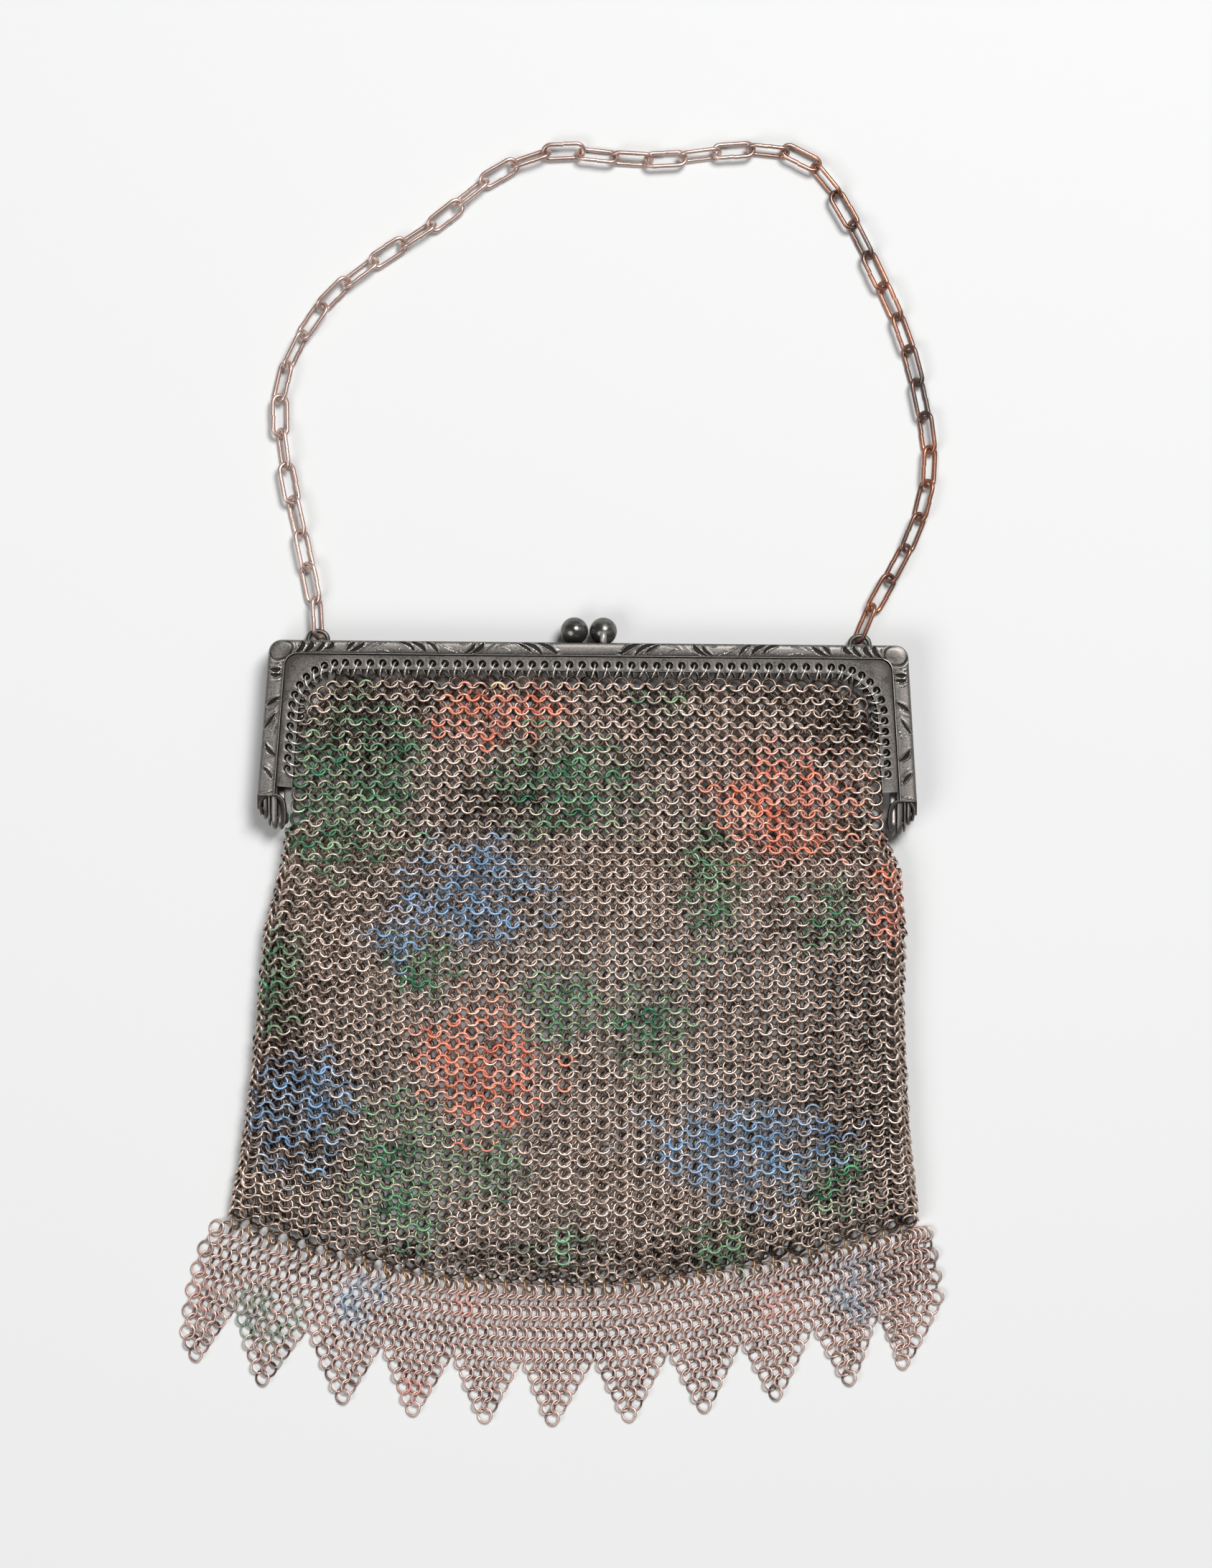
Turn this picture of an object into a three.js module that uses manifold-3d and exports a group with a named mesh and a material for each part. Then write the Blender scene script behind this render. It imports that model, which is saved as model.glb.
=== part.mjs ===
// A metal mesh purse with a hinged frame, a kiss clasp, a ring-mesh bag with a pointed fringe
// and a carrying chain. It lies on its back.
// Millimetres. X runs to the right, Y from the bag towards the chain, Z up from the surface.
// Until the last lines Y is measured from the top edge of the frame.

import * as THREE from 'three';
import { mergeGeometries, mergeVertices } from 'three/addons/utils/BufferGeometryUtils.js';
import Module from 'manifold-3d';

// Frame: two stamped halves
const frame_width = 147.5;
const hinge_width = 152.5;
const frame_depth = 36;
const frame_thickness = 11;
const frame_corner_radius = 3;
const wall_thickness = 1;
const wall_tail = 3.2;
const top_band_width = 3.1;
const side_band_width = 3.9;
const band_bevel = 0.7;
const relief_height = 0.25;
const flange_drop = 1.1;
const flange_sheet = 0.8;
const top_flange_width = 3.5;
const side_flange_width = 3.9;
const flange_corner_radius = 10;
const flange_end_setback = 2;
const corner_steps = 4;

// Gap between pieces that touch on the real purse
const clearance = 0.3;

// Lacing holes round the flange
const hole_diameter = 1.7;
const hole_from_edge = 1.5;
const top_hole_pitch = 2.88;
const side_hole_pitch = 2.47;
const last_hole_from_end = 4.5;
const hole_sides = 5;

// Raised ornament of the bands
const plain_centre = 15;
const lobe_count = 5;
const lobe_pitch = 2.1;
const lobe_length = 2.6;
const lobe_breadth = 0.9;
const leaf_pitch = 5.6;
const leaf_length = 4.4;
const leaf_breadth = 0.9;
const leaf_lean = 24;
const side_leaf_pitch = 6.4;
const boss_length = 3.6;
const boss_breadth = 1.7;

// Hinges
const hinge_drop = 41.2;
const ear_radius = 2.7;
const ear_thickness = 1.2;
const ear_root_length = 6;
const ear_from_wall = 2.3;
const rivet_diameter = 1.6;
const rivet_head_diameter = 2.8;
const rivet_head_thickness = 0.6;

// Kiss clasp
const ball_diameter = 6.4;
const ball_rise = 2.8;
const stem_diameter = 1.6;
const stem_lean = 59;
const stem_reach = 0.45;

// Chain
const link_count = 41;
const link_length = 10.5;
const link_width = 4.6;
const link_wire = 1.05;
const link_play = 0.45;
const wire_sides = 5;
const bend_steps = 4;
const chain_ear_spacing = 126;
const chain_ear_wire = 1.1;
const chain_ear_width = 5.7;
const link_roll = 45;
const link_twist = 20;
const first_link_lean = -4;
const last_link_lean = 22;

// Way of the chain between its first and its last link, which stand in the ears. Across is a
// share of half the distance between the ears, up a share of the loop's height, twist a share
// of link_twist.
const chain_way = [
  { across: -1.06, up: 0.157, twist: 0 },
  { across: -1.116, up: 0.296, twist: -1 },
  { across: -1.148, up: 0.43, twist: -1 },
  { across: -1.14, up: 0.5, twist: 0 },
  { across: -1.1, up: 0.562, twist: 1 },
  { across: -0.971, up: 0.678, twist: 0 },
  { across: -0.781, up: 0.767, twist: -1 },
  { across: -0.57, up: 0.846, twist: -1 },
  { across: -0.373, up: 0.941, twist: -1 },
  { across: -0.14, up: 0.996, twist: -1 },
  { across: 0.06, up: 0.986, twist: 0.2 },
  { across: 0.26, up: 0.982, twist: 1 },
  { across: 0.533, up: 1.003, twist: 1 },
  { across: 0.662, up: 1.001, twist: 1 },
  { across: 0.795, up: 0.98, twist: 1 },
  { across: 0.938, up: 0.869, twist: 1 },
  { across: 1.049, up: 0.744, twist: 0.6 },
  { across: 1.151, up: 0.616, twist: 0 },
  { across: 1.214, up: 0.482, twist: 0 },
  { across: 1.252, up: 0.342, twist: 0 },
  { across: 1.2, up: 0.2, twist: 0 },
  { across: 1.09, up: 0.075, twist: 0.6 },
];
const end_twist = 1;

// Ring mesh of the bag and fringe
const ring_diameter = 3.74;
const ring_wire = 0.5;
const mesh_tilt = 24;
const fringe_tilt = 21;

// Bag, as it lies
const bag_side_depth = 134;
const bag_sag = 14.5;
const sag_roundness_left = 2.3;
const sag_roundness_right = 1.5;
const bag_spread_left = 82.7;
const bag_spread_right = 78.4;
const roll_height = 0.7;

// Outline and thickness of the bag from the frame's top edge down. Down is a share of
// bag_side_depth. Left and right are shares of the way from the waist at the hinges out to the
// spread at the bottom corners. Front is a share of the height of the mouth's front, lift of
// the mouth's height above the surface, roll of roll_height.
const bag_rows = [
  { down: 0.0, left: 0.5, right: 0.7, front: 1.0, lift: 1.0, roll: 0 },
  { down: 0.13, left: 0.38, right: 0.55, front: 1.0, lift: 0.5, roll: 0 },
  { down: 0.22, left: 0.25, right: 0.35, front: 1.0, lift: 0.0, roll: 0 },
  { down: 0.305, left: 0.0, right: 0.0, front: 0.99, lift: 0.0, roll: 0.2 },
  { down: 0.34, left: 0.14, right: 0.2, front: 0.985, lift: 0.0, roll: 0.5 },
  { down: 0.39, left: 0.2, right: 0.46, front: 0.98, lift: 0.0, roll: 0.8 },
  { down: 0.5, left: 0.46, right: 0.61, front: 0.97, lift: 0.0, roll: 1 },
  { down: 0.63, left: 0.55, right: 0.58, front: 0.955, lift: 0.0, roll: 1 },
  { down: 0.755, left: 0.65, right: 0.66, front: 0.93, lift: 0.0, roll: 1 },
  { down: 0.88, left: 0.8, right: 0.79, front: 0.84, lift: 0.0, roll: 0.8 },
  { down: 0.955, left: 0.93, right: 0.93, front: 0.7, lift: 0.0, roll: 0.3 },
  { down: 0.985, left: 0.98, right: 0.98, front: 0.55, lift: 0.02, roll: 0 },
  { down: 1.0, left: 1.0, right: 1.0, front: 0.38, lift: 0.04, roll: 0 },
];

// Shallow folds of the front: where they lie across the half width, how broad they are as a
// share of it, and their rise as a share of roll_height
const bag_folds = [
  { across: -0.88, breadth: 0.07, rise: 1.0 },
  { across: -0.62, breadth: 0.16, rise: -0.7 },
  { across: -0.2, breadth: 0.2, rise: 0.5 },
  { across: 0.28, breadth: 0.18, rise: -0.6 },
  { across: 0.6, breadth: 0.14, rise: 0.4 },
  { across: 0.88, breadth: 0.07, rise: 1.0 },
];
const front_stations = [-1, -0.94, -0.88, -0.78, -0.6, -0.2, 0.05, 0.28, 0.6, 0.78, 0.88, 0.94, 1];
const back_stations = [1, 0.9, 0.5, 0, -0.5, -0.9, -1];
const side_steps = 4;

// Fringe: columns of rings ending in points
const fringe_columns = 148;
const point_columns = 14;
const first_tip_column = 2;
const fringe_band = 17.8;
const point_drop = 15.7;
const fringe_drift = 8.6;
const drift_reach = 12;
const fringe_top_steps = 34;

// Where columns of the fringe start across the bag's lower edge, as a share of the bag's spread
const fringe_tops = [
  { column: 0, place: -1.033 },
  { column: 3, place: -0.975 },
  { column: 141, place: 0.967 },
  { column: 148, place: 1.028 },
];

// How far columns of the fringe hang to one side of where they start, as a share of fringe_drift
const fringe_drifts = [
  { column: 2, drift: -0.97 },
  { column: 16, drift: -1.0 },
  { column: 30, drift: -0.66 },
  { column: 44, drift: -0.6 },
  { column: 58, drift: -0.5 },
  { column: 72, drift: -0.51 },
  { column: 86, drift: -0.28 },
  { column: 100, drift: -0.09 },
  { column: 114, drift: 0 },
  { column: 128, drift: 0.14 },
  { column: 142, drift: -0.19 },
  { column: 148, drift: 0.49 },
];

const deg = Math.PI / 180;
const wasm = await Module();
wasm.setup();

// Turns a closed geometry into a solid that can be joined and cut.
function solidFrom(geometry) {
  const bare = geometry.clone();
  bare.deleteAttribute('normal');
  bare.deleteAttribute('uv');
  const merged = mergeVertices(bare, 1e-4);
  return new wasm.Manifold(new wasm.Mesh({
    numProp: 3,
    vertProperties: new Float32Array(merged.attributes.position.array),
    triVerts: new Uint32Array(merged.index.array),
  }));
}

function geometryFrom(solid) {
  const mesh = solid.getMesh();
  const geometry = new THREE.BufferGeometry();
  geometry.setAttribute('position', new THREE.BufferAttribute(new Float32Array(mesh.vertProperties), 3));
  geometry.setIndex(new THREE.BufferAttribute(new Uint32Array(mesh.triVerts), 1));
  geometry.computeVertexNormals();
  return geometry;
}

// Reverses the triangles of a body that came out with its faces turned in.
function facingOut(points, triangles) {
  let volume = 0;
  for (let i = 0; i < triangles.length; i += 3) {
    const [a, b, c] = [points[triangles[i]], points[triangles[i + 1]], points[triangles[i + 2]]];
    volume += a.dot(b.clone().cross(c));
  }
  const order = volume < 0 ? [0, 2, 1] : [0, 1, 2];
  const turned = [];
  for (let i = 0; i < triangles.length; i += 3) {
    turned.push(...order.map((corner) => triangles[i + corner]));
  }
  const geometry = new THREE.BufferGeometry().setFromPoints(points);
  geometry.setIndex(turned);
  geometry.computeVertexNormals();
  return geometry;
}

// Joins matching loops of points into one closed body. Its two ends are filled with the given
// triangles of a loop, or the last loop runs on into the first.
function loft(loops, endTriangles) {
  const size = loops[0].length;
  const points = loops.flat();
  const triangles = [];
  const spans = endTriangles ? loops.length - 1 : loops.length;
  for (let row = 0; row < spans; row += 1) {
    const here = row * size;
    const next = ((row + 1) % loops.length) * size;
    for (let k = 0; k < size; k += 1) {
      const after = (k + 1) % size;
      triangles.push(here + k, here + after, next + after, here + k, next + after, next + k);
    }
  }
  const last = (loops.length - 1) * size;
  for (const corners of endTriangles ?? []) {
    const [a, b, c] = [...corners].sort((one, other) => one - other);
    triangles.push(c, b, a, last + a, last + b, last + c);
  }
  return facingOut(points, triangles);
}

// Triangles over a loop whose upper and lower lines both run from its left to its right end
function acrossLoop(loop) {
  const size = loop.length;
  const order = loop.map((point, k) => k).sort((one, other) => loop[one].x - loop[other].x);
  const [left, right] = [order[0], order[size - 1]];
  const triangles = [];
  let [upper, lower] = [left, left];
  while (upper !== right || lower !== right) {
    const [up, down] = [(upper + 1) % size, (lower + size - 1) % size];
    const takeUpper = lower === right || (upper !== right && loop[up].x <= loop[down].x);
    const taken = takeUpper ? up : down;
    if (taken !== upper && taken !== lower && upper !== lower) triangles.push([upper, lower, taken]);
    if (takeUpper) upper = up;
    else lower = down;
  }
  return triangles;
}

// Mirror image across the plane square to the axis 'x' or 'z'
function flipped(geometry, axis) {
  const scale = new THREE.Vector3(1, 1, 1);
  scale[axis] = -1;
  const copy = geometry.clone().scale(scale.x, scale.y, scale.z);
  const index = copy.index.array;
  for (let i = 0; i < index.length; i += 3) {
    [index[i + 1], index[i + 2]] = [index[i + 2], index[i + 1]];
  }
  copy.computeVertexNormals();
  return copy;
}

// Levels of a frame half above the plane where the halves meet
const wall_foot = clearance / 2;
const crown_level = frame_thickness / 2 - relief_height;
const shoulder_level = crown_level - band_bevel;
const flange_face = crown_level - flange_drop;
const flange_underside = flange_face - flange_sheet;
const flange_middle = (flange_face + flange_underside) / 2;
const flare = Math.atan((hinge_width - frame_width) / 2 / frame_depth);

// Right half of a line that runs inside the frame's outer edge: a straight top, a round
// corner and a side that flares towards the hinge.
function inset(topInset, sideInset, radius) {
  const sideX = frame_width / 2 - sideInset / Math.cos(flare);
  const centreY = -topInset - radius;
  const centreX = sideX - (radius + centreY * Math.sin(flare)) / Math.cos(flare);
  return { topInset, sideX, radius, centreX, centreY };
}

function sideAt(line, y) {
  return line.sideX - y * Math.tan(flare);
}

function cornerAt(line, angle) {
  return new THREE.Vector2(
    line.centreX + line.radius * Math.cos(angle),
    line.centreY + line.radius * Math.sin(angle),
  );
}

// The whole line from the left lower end over the top to the right lower end
function outline(line, end) {
  const right = [];
  for (let i = 0; i <= corner_steps; i += 1) {
    right.push(cornerAt(line, Math.PI / 2 + (flare - Math.PI / 2) * i / corner_steps));
  }
  right.push(new THREE.Vector2(sideAt(line, -end), -end));
  const left = right.map((p) => new THREE.Vector2(-p.x, p.y)).reverse();
  return [...left, ...right];
}

// Place at a distance along a line's right half, from the middle of the top
function along(line, distance) {
  const arc = line.radius * (Math.PI / 2 - flare);
  if (distance <= line.centreX) return new THREE.Vector2(distance, -line.topInset);
  if (distance <= line.centreX + arc) {
    return cornerAt(line, Math.PI / 2 - (distance - line.centreX) / line.radius);
  }
  const down = distance - line.centreX - arc;
  const start = cornerAt(line, flare);
  return new THREE.Vector2(start.x + down * Math.sin(flare), start.y - down * Math.cos(flare));
}

const flange_inset_top = top_band_width + top_flange_width;
const flange_inset_side = side_band_width + side_flange_width;

// Cross-section of a frame half, one row for each corner of the stamped sheet
function frameBody() {
  const edge = frame_corner_radius;
  const deep = frame_depth + wall_tail;
  const short = frame_depth - flange_end_setback;
  const rows = [
    { top: 0, side: 0, radius: edge, level: wall_foot, end: deep },
    { top: 0, side: 0, radius: edge, level: shoulder_level, end: frame_depth },
    { top: band_bevel, side: band_bevel, radius: edge, level: crown_level, end: frame_depth },
    { top: top_band_width - band_bevel, side: side_band_width - band_bevel, radius: edge,
      level: crown_level, end: frame_depth },
    { top: top_band_width, side: side_band_width, radius: edge, level: shoulder_level, end: frame_depth },
    { top: top_band_width, side: side_band_width, radius: edge, level: flange_face, end: frame_depth },
    { top: flange_inset_top, side: flange_inset_side, radius: flange_corner_radius,
      level: flange_face, end: short },
    { top: flange_inset_top, side: flange_inset_side, radius: flange_corner_radius,
      level: flange_underside, end: short },
    { top: wall_thickness, side: wall_thickness, radius: edge, level: flange_underside, end: frame_depth },
    { top: wall_thickness, side: wall_thickness, radius: edge, level: wall_foot, end: deep },
  ];
  const rails = rows.map((row) => outline(inset(row.top, row.side, row.radius), row.end));
  const loops = rails[0].map((_, station) => rows.map((row, k) => (
    new THREE.Vector3(rails[k][station].x, rails[k][station].y, row.level)
  )));
  const section = rows.map((row) => new THREE.Vector2(row.side, row.level));
  return solidFrom(loft(loops, THREE.ShapeUtils.triangulateShape(section, [])));
}

// One prism for each lacing hole, in a single body of separate pieces
function lacingHoles() {
  const line = inset(
    flange_inset_top - hole_from_edge,
    flange_inset_side - hole_from_edge,
    flange_corner_radius + hole_from_edge,
  );
  const lowest = frame_depth - last_hole_from_end;
  const places = [];
  let distance = top_hole_pitch / 2;
  while (distance <= line.centreX) {
    places.push(along(line, distance));
    distance += top_hole_pitch;
  }
  distance += side_hole_pitch - top_hole_pitch;
  while (along(line, distance).y > -lowest) {
    places.push(along(line, distance));
    distance += side_hole_pitch;
  }
  const prisms = [];
  for (const place of places) {
    for (const hand of [-1, 1]) {
      const prism = new THREE.CylinderGeometry(
        hole_diameter / 2, hole_diameter / 2, flange_sheet * 3, hole_sides,
      );
      prism.rotateX(Math.PI / 2).translate(hand * place.x, place.y, flange_middle);
      prisms.push(prism);
    }
  }
  return solidFrom(mergeGeometries(prisms));
}

// A long low leaf with a peak, raised on the crown of the band
function leaf(place, length, breadth, angle) {
  const foot = crown_level - relief_height;
  const top = crown_level + relief_height;
  const loop = [
    [-length / 2, 0, foot], [0, -breadth / 2, foot], [length / 2, 0, foot], [0, breadth / 2, foot],
    [0, 0, top],
  ];
  const turn = new THREE.Matrix4().makeRotationZ(angle).setPosition(place.x, place.y, 0);
  const points = loop.map(([x, y, z]) => new THREE.Vector3(x, y, z).applyMatrix4(turn));
  const triangles = [0, 3, 2, 0, 2, 1, 0, 1, 4, 1, 2, 4, 2, 3, 4, 3, 0, 4];
  return facingOut(points, triangles);
}

// Ornament of one half: a boss at each corner, slanting lobes beside it, and leaves that lean
// to and fro along the top and down the sides
function ornament() {
  const middle = inset(top_band_width / 2, side_band_width / 2, frame_corner_radius);
  const arc = middle.radius * (Math.PI / 2 - flare);
  const corner = middle.centreX + arc / 2;
  const leaves = [];
  for (const hand of [-1, 1]) {
    const raise = (distance, length, breadth, lean) => {
      const place = along(middle, distance);
      const ahead = along(middle, distance + 0.1).sub(along(middle, distance - 0.1)).angle();
      const angle = ahead + lean * deg;
      place.x *= hand;
      leaves.push(leaf(place, length, breadth, hand > 0 ? angle : Math.PI - angle));
    };
    raise(corner, boss_length, boss_breadth, 0);
    for (const way of [-1, 1]) {
      const first = corner + way * (boss_length / 2 + lobe_pitch / 2);
      for (let i = 0; i < lobe_count; i += 1) {
        raise(first + way * i * lobe_pitch, lobe_length, lobe_breadth, way * 55);
      }
    }
    const taken = boss_length / 2 + lobe_count * lobe_pitch;
    const topRoom = corner - taken - plain_centre / 2;
    const topLeaves = Math.floor(topRoom / leaf_pitch);
    for (let i = 0; i < topLeaves; i += 1) {
      const distance = plain_centre / 2 + topRoom * (i + 0.5) / topLeaves;
      raise(distance, leaf_length, leaf_breadth, i % 2 ? leaf_lean : -leaf_lean);
    }
    const straight = (frame_depth + middle.centreY) / Math.cos(flare);
    const sideRoom = straight + arc / 2 - taken - leaf_length / 2;
    const sideLeaves = Math.floor(sideRoom / side_leaf_pitch);
    for (let i = 0; i < sideLeaves; i += 1) {
      const distance = corner + taken + sideRoom * (i + 0.5) / sideLeaves;
      raise(distance, leaf_length, leaf_breadth, i % 2 ? leaf_lean : -leaf_lean);
    }
  }
  return leaves.map(solidFrom);
}

// Inner face of the side wall where the hinges are, and the stack of ears inside it
const wall_inner_x = sideAt(inset(wall_thickness, wall_thickness, frame_corner_radius), -frame_depth);
const outer_ear_x = wall_inner_x - ear_from_wall;
const inner_ear_x = outer_ear_x - ear_thickness - clearance;
const stack_end_x = inner_ear_x - ear_thickness - clearance - rivet_head_thickness;

// Hinge ear of the right side: a plate from under the flange round the rivet
function hingeEar(outerFace) {
  const root = flange_middle;
  const rootEnd = frame_depth - flange_end_setback;
  const shape = new THREE.Shape();
  shape.moveTo(-rootEnd + ear_root_length, root);
  shape.lineTo(-rootEnd, root);
  shape.absarc(-hinge_drop, 0, ear_radius, 100 * deg, 290 * deg, false);
  shape.lineTo(-rootEnd + ear_root_length, wall_foot);
  const hole = new THREE.Path();
  hole.absarc(-hinge_drop, 0, rivet_diameter / 2 + clearance, 0, 2 * Math.PI, true);
  shape.holes.push(hole);
  const plate = new THREE.ExtrudeGeometry(shape, {
    depth: ear_thickness, bevelEnabled: false, curveSegments: 5,
  });
  const axes = new THREE.Matrix4().makeBasis(
    new THREE.Vector3(0, 1, 0), new THREE.Vector3(0, 0, 1), new THREE.Vector3(1, 0, 0),
  );
  return plate.applyMatrix4(axes).translate(outerFace - ear_thickness, 0, 0);
}

const ball_offset = (ball_diameter + clearance) / 2;

function ballSeat(x) {
  const seat = new THREE.SphereGeometry(ball_diameter / 2 + clearance, 10, 6);
  return solidFrom(seat.translate(x, ball_rise, 0));
}

function frameHalf(earFace) {
  let half = frameBody().subtract(lacingHoles());
  for (const piece of ornament()) half = half.add(piece);
  const ear = hingeEar(earFace);
  half = half.add(solidFrom(ear));
  half = half.add(solidFrom(mirroredInX(ear)));
  return half.subtract(ballSeat(-ball_offset)).subtract(ballSeat(ball_offset));
}

// An extruded plate has no index, so its triangles are merged before they are mirrored.
function mirroredInX(geometry) {
  const bare = geometry.clone();
  bare.deleteAttribute('normal');
  bare.deleteAttribute('uv');
  return flipped(mergeVertices(bare, 1e-4), 'x');
}

// Height of a link that lies rolled about its own length, and how high its middle lies
function restHeight(roll) {
  return (link_width - link_wire) / 2 * Math.abs(Math.sin(roll * deg)) + link_wire / 2;
}
const ear_level = restHeight(link_roll + link_twist);
const ear_apex = clearance + link_wire + link_play + chain_ear_wire / 2;

// Wire ear of the chain, soldered into the top wall of the back half
function chainEar(x) {
  const reach = chain_ear_width / 2 - chain_ear_wire / 2;
  const bend = Math.min(reach, ear_apex) * 0.9;
  const way = new THREE.CurvePath();
  const foot = -wall_thickness / 2;
  const corner = (cx, cy, from, to) => {
    const points = [];
    for (let i = 0; i <= 3; i += 1) {
      const angle = from + (to - from) * i / 3;
      points.push(new THREE.Vector3(cx + bend * Math.cos(angle), cy + bend * Math.sin(angle), 0));
    }
    return points;
  };
  const places = [
    new THREE.Vector3(-reach, foot, 0),
    ...corner(-reach + bend, ear_apex - bend, Math.PI, Math.PI / 2),
    ...corner(reach - bend, ear_apex - bend, Math.PI / 2, 0),
    new THREE.Vector3(reach, foot, 0),
  ];
  const loops = places.map((place, i) => {
    const before = places[Math.max(i - 1, 0)];
    const after = places[Math.min(i + 1, places.length - 1)];
    const ahead = after.clone().sub(before).normalize();
    const across = new THREE.Vector3(-ahead.y, ahead.x, 0);
    return wireSection(place, across, new THREE.Vector3(0, 0, 1), chain_ear_wire / 2);
  });
  const ends = THREE.ShapeUtils.triangulateShape(loops[0].map((p) => new THREE.Vector2(p.x, p.z)), []);
  return solidFrom(loft(loops, ends).translate(x, 0, ear_level - frame_thickness / 2));
}

function wireSection(place, across, up, radius) {
  const loop = [];
  for (let k = 0; k < wire_sides; k += 1) {
    const angle = 2 * Math.PI * k / wire_sides;
    loop.push(place.clone()
      .addScaledVector(across, radius * Math.cos(angle))
      .addScaledVector(up, radius * Math.sin(angle)));
  }
  return loop;
}

// Headed pin along X through both ears of the right hinge
function rivetGeometry() {
  const [pin, head] = [rivet_diameter / 2, rivet_head_diameter / 2];
  const outer = outer_ear_x + clearance;
  const profile = [
    [0, stack_end_x], [head, stack_end_x], [head, stack_end_x + rivet_head_thickness],
    [pin, stack_end_x + rivet_head_thickness], [pin, outer], [head, outer],
    [head, outer + rivet_head_thickness], [0, outer + rivet_head_thickness],
  ];
  const lathe = new THREE.LatheGeometry(profile.map(([r, x]) => new THREE.Vector2(r, x)), 8);
  return geometryFrom(solidFrom(lathe.rotateZ(-Math.PI / 2))).translate(0, -hinge_drop, frame_thickness / 2);
}

// Ball of the kiss clasp with a stem that leans back to its own half. The front one leans up.
function claspBall() {
  const radius = ball_diameter / 2;
  const ball = new THREE.SphereGeometry(radius, 12, 8);
  const length = radius + stem_reach;
  const stem = new THREE.CylinderGeometry(stem_diameter / 2, stem_diameter / 2, length, 8);
  stem.translate(0, -length / 2, 0).rotateX(-stem_lean * deg);
  return solidFrom(ball).add(solidFrom(stem));
}

// Oval link of round wire, lying along X
function linkGeometry() {
  const bend = (link_width - link_wire) / 2;
  const straight = link_length / 2 - link_wire / 2 - bend;
  const loops = [];
  for (const end of [1, -1]) {
    for (let i = 0; i <= bend_steps; i += 1) {
      const angle = (i / bend_steps - 0.5) * Math.PI + (end > 0 ? 0 : Math.PI);
      const across = new THREE.Vector3(Math.cos(angle), Math.sin(angle), 0);
      const place = across.clone().multiplyScalar(bend).setX(end * straight + bend * across.x);
      loops.push(wireSection(place, across, new THREE.Vector3(0, 0, 1), link_wire / 2));
    }
  }
  return loft(loops, null);
}

// Middle of a link that stands in an ear and leans to the right by some degrees
function endLink(hand, lean) {
  const reach = link_length / 2 - link_wire - link_play - chain_ear_wire / 2;
  return new THREE.Vector3(
    hand * chain_ear_spacing / 2 + reach * Math.sin(lean * deg),
    ear_apex + reach * Math.cos(lean * deg),
    0,
  );
}

// Middles of the links: equal steps along the way, with the loop as high as the links allow.
function chainLayout() {
  const pitch = link_length - 2 * link_wire - link_play;
  const [first, last] = [endLink(-1, first_link_lean), endLink(1, last_link_lean)];
  const twists = [end_twist, ...chain_way.map((row) => row.twist), end_twist];
  const walk = (height) => {
    const turns = chain_way.map((row) => (
      new THREE.Vector3(row.across * chain_ear_spacing / 2, first.y + row.up * height, 0)
    ));
    const curve = new THREE.CatmullRomCurve3([first, ...turns, last]);
    const samples = 4000;
    const links = [{ place: first, at: 0 }];
    for (let i = 1; i <= samples && links.length < link_count; i += 1) {
      const point = curve.getPoint(i / samples);
      const from = links[links.length - 1].place;
      if (point.distanceTo(from) >= pitch) {
        const step = point.clone().sub(from).setLength(pitch);
        links.push({ place: from.clone().add(step), at: i / samples });
      }
    }
    return links;
  };
  let [low, high] = [pitch, pitch * link_count];
  for (let i = 0; i < 50; i += 1) {
    const height = (low + high) / 2;
    if (walk(height).length < link_count) low = height;
    else high = height;
  }
  return walk(high).map(({ place, at }, i) => {
    const row = at * (twists.length - 1);
    const below = Math.min(Math.floor(row), twists.length - 2);
    const twist = THREE.MathUtils.lerp(twists[below], twists[below + 1], row - below);
    const lean = i % 2 ? -link_roll : link_roll;
    return { place, roll: lean + twist * link_twist };
  });
}

// Value of one column of a table, between the rows whose first column is on either side of a place
function tableValue(rows, first, column, at) {
  const after = Math.max(1, rows.findIndex((row) => row[first] >= at));
  const [upper, lower] = [rows[after - 1], rows[after]];
  const share = (at - upper[first]) / (lower[first] - upper[first]);
  return upper[column] + (lower[column] - upper[column]) * share;
}

function rowValue(column, down) {
  return tableValue(bag_rows, 'down', column, down);
}

const mesh_wall = ring_diameter * Math.sin(mesh_tilt * deg) + ring_wire * Math.cos(mesh_tilt * deg);
const mouth_line = inset(
  flange_inset_top + clearance, flange_inset_side + clearance, flange_corner_radius - clearance,
);
const waist = sideAt(mouth_line, -hinge_drop);
const mouth_lift = frame_thickness / 2 - flange_middle - mesh_wall / 2;
const mouth_front = frame_thickness - mouth_lift;

function sagAt(across) {
  const roundness = across < 0 ? sag_roundness_left : sag_roundness_right;
  return bag_sag * (1 - Math.abs(across) ** roundness);
}

function halfWidth(across, down) {
  return across < 0
    ? waist + (bag_spread_left - waist) * rowValue('left', down)
    : waist + (bag_spread_right - waist) * rowValue('right', down);
}

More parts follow.
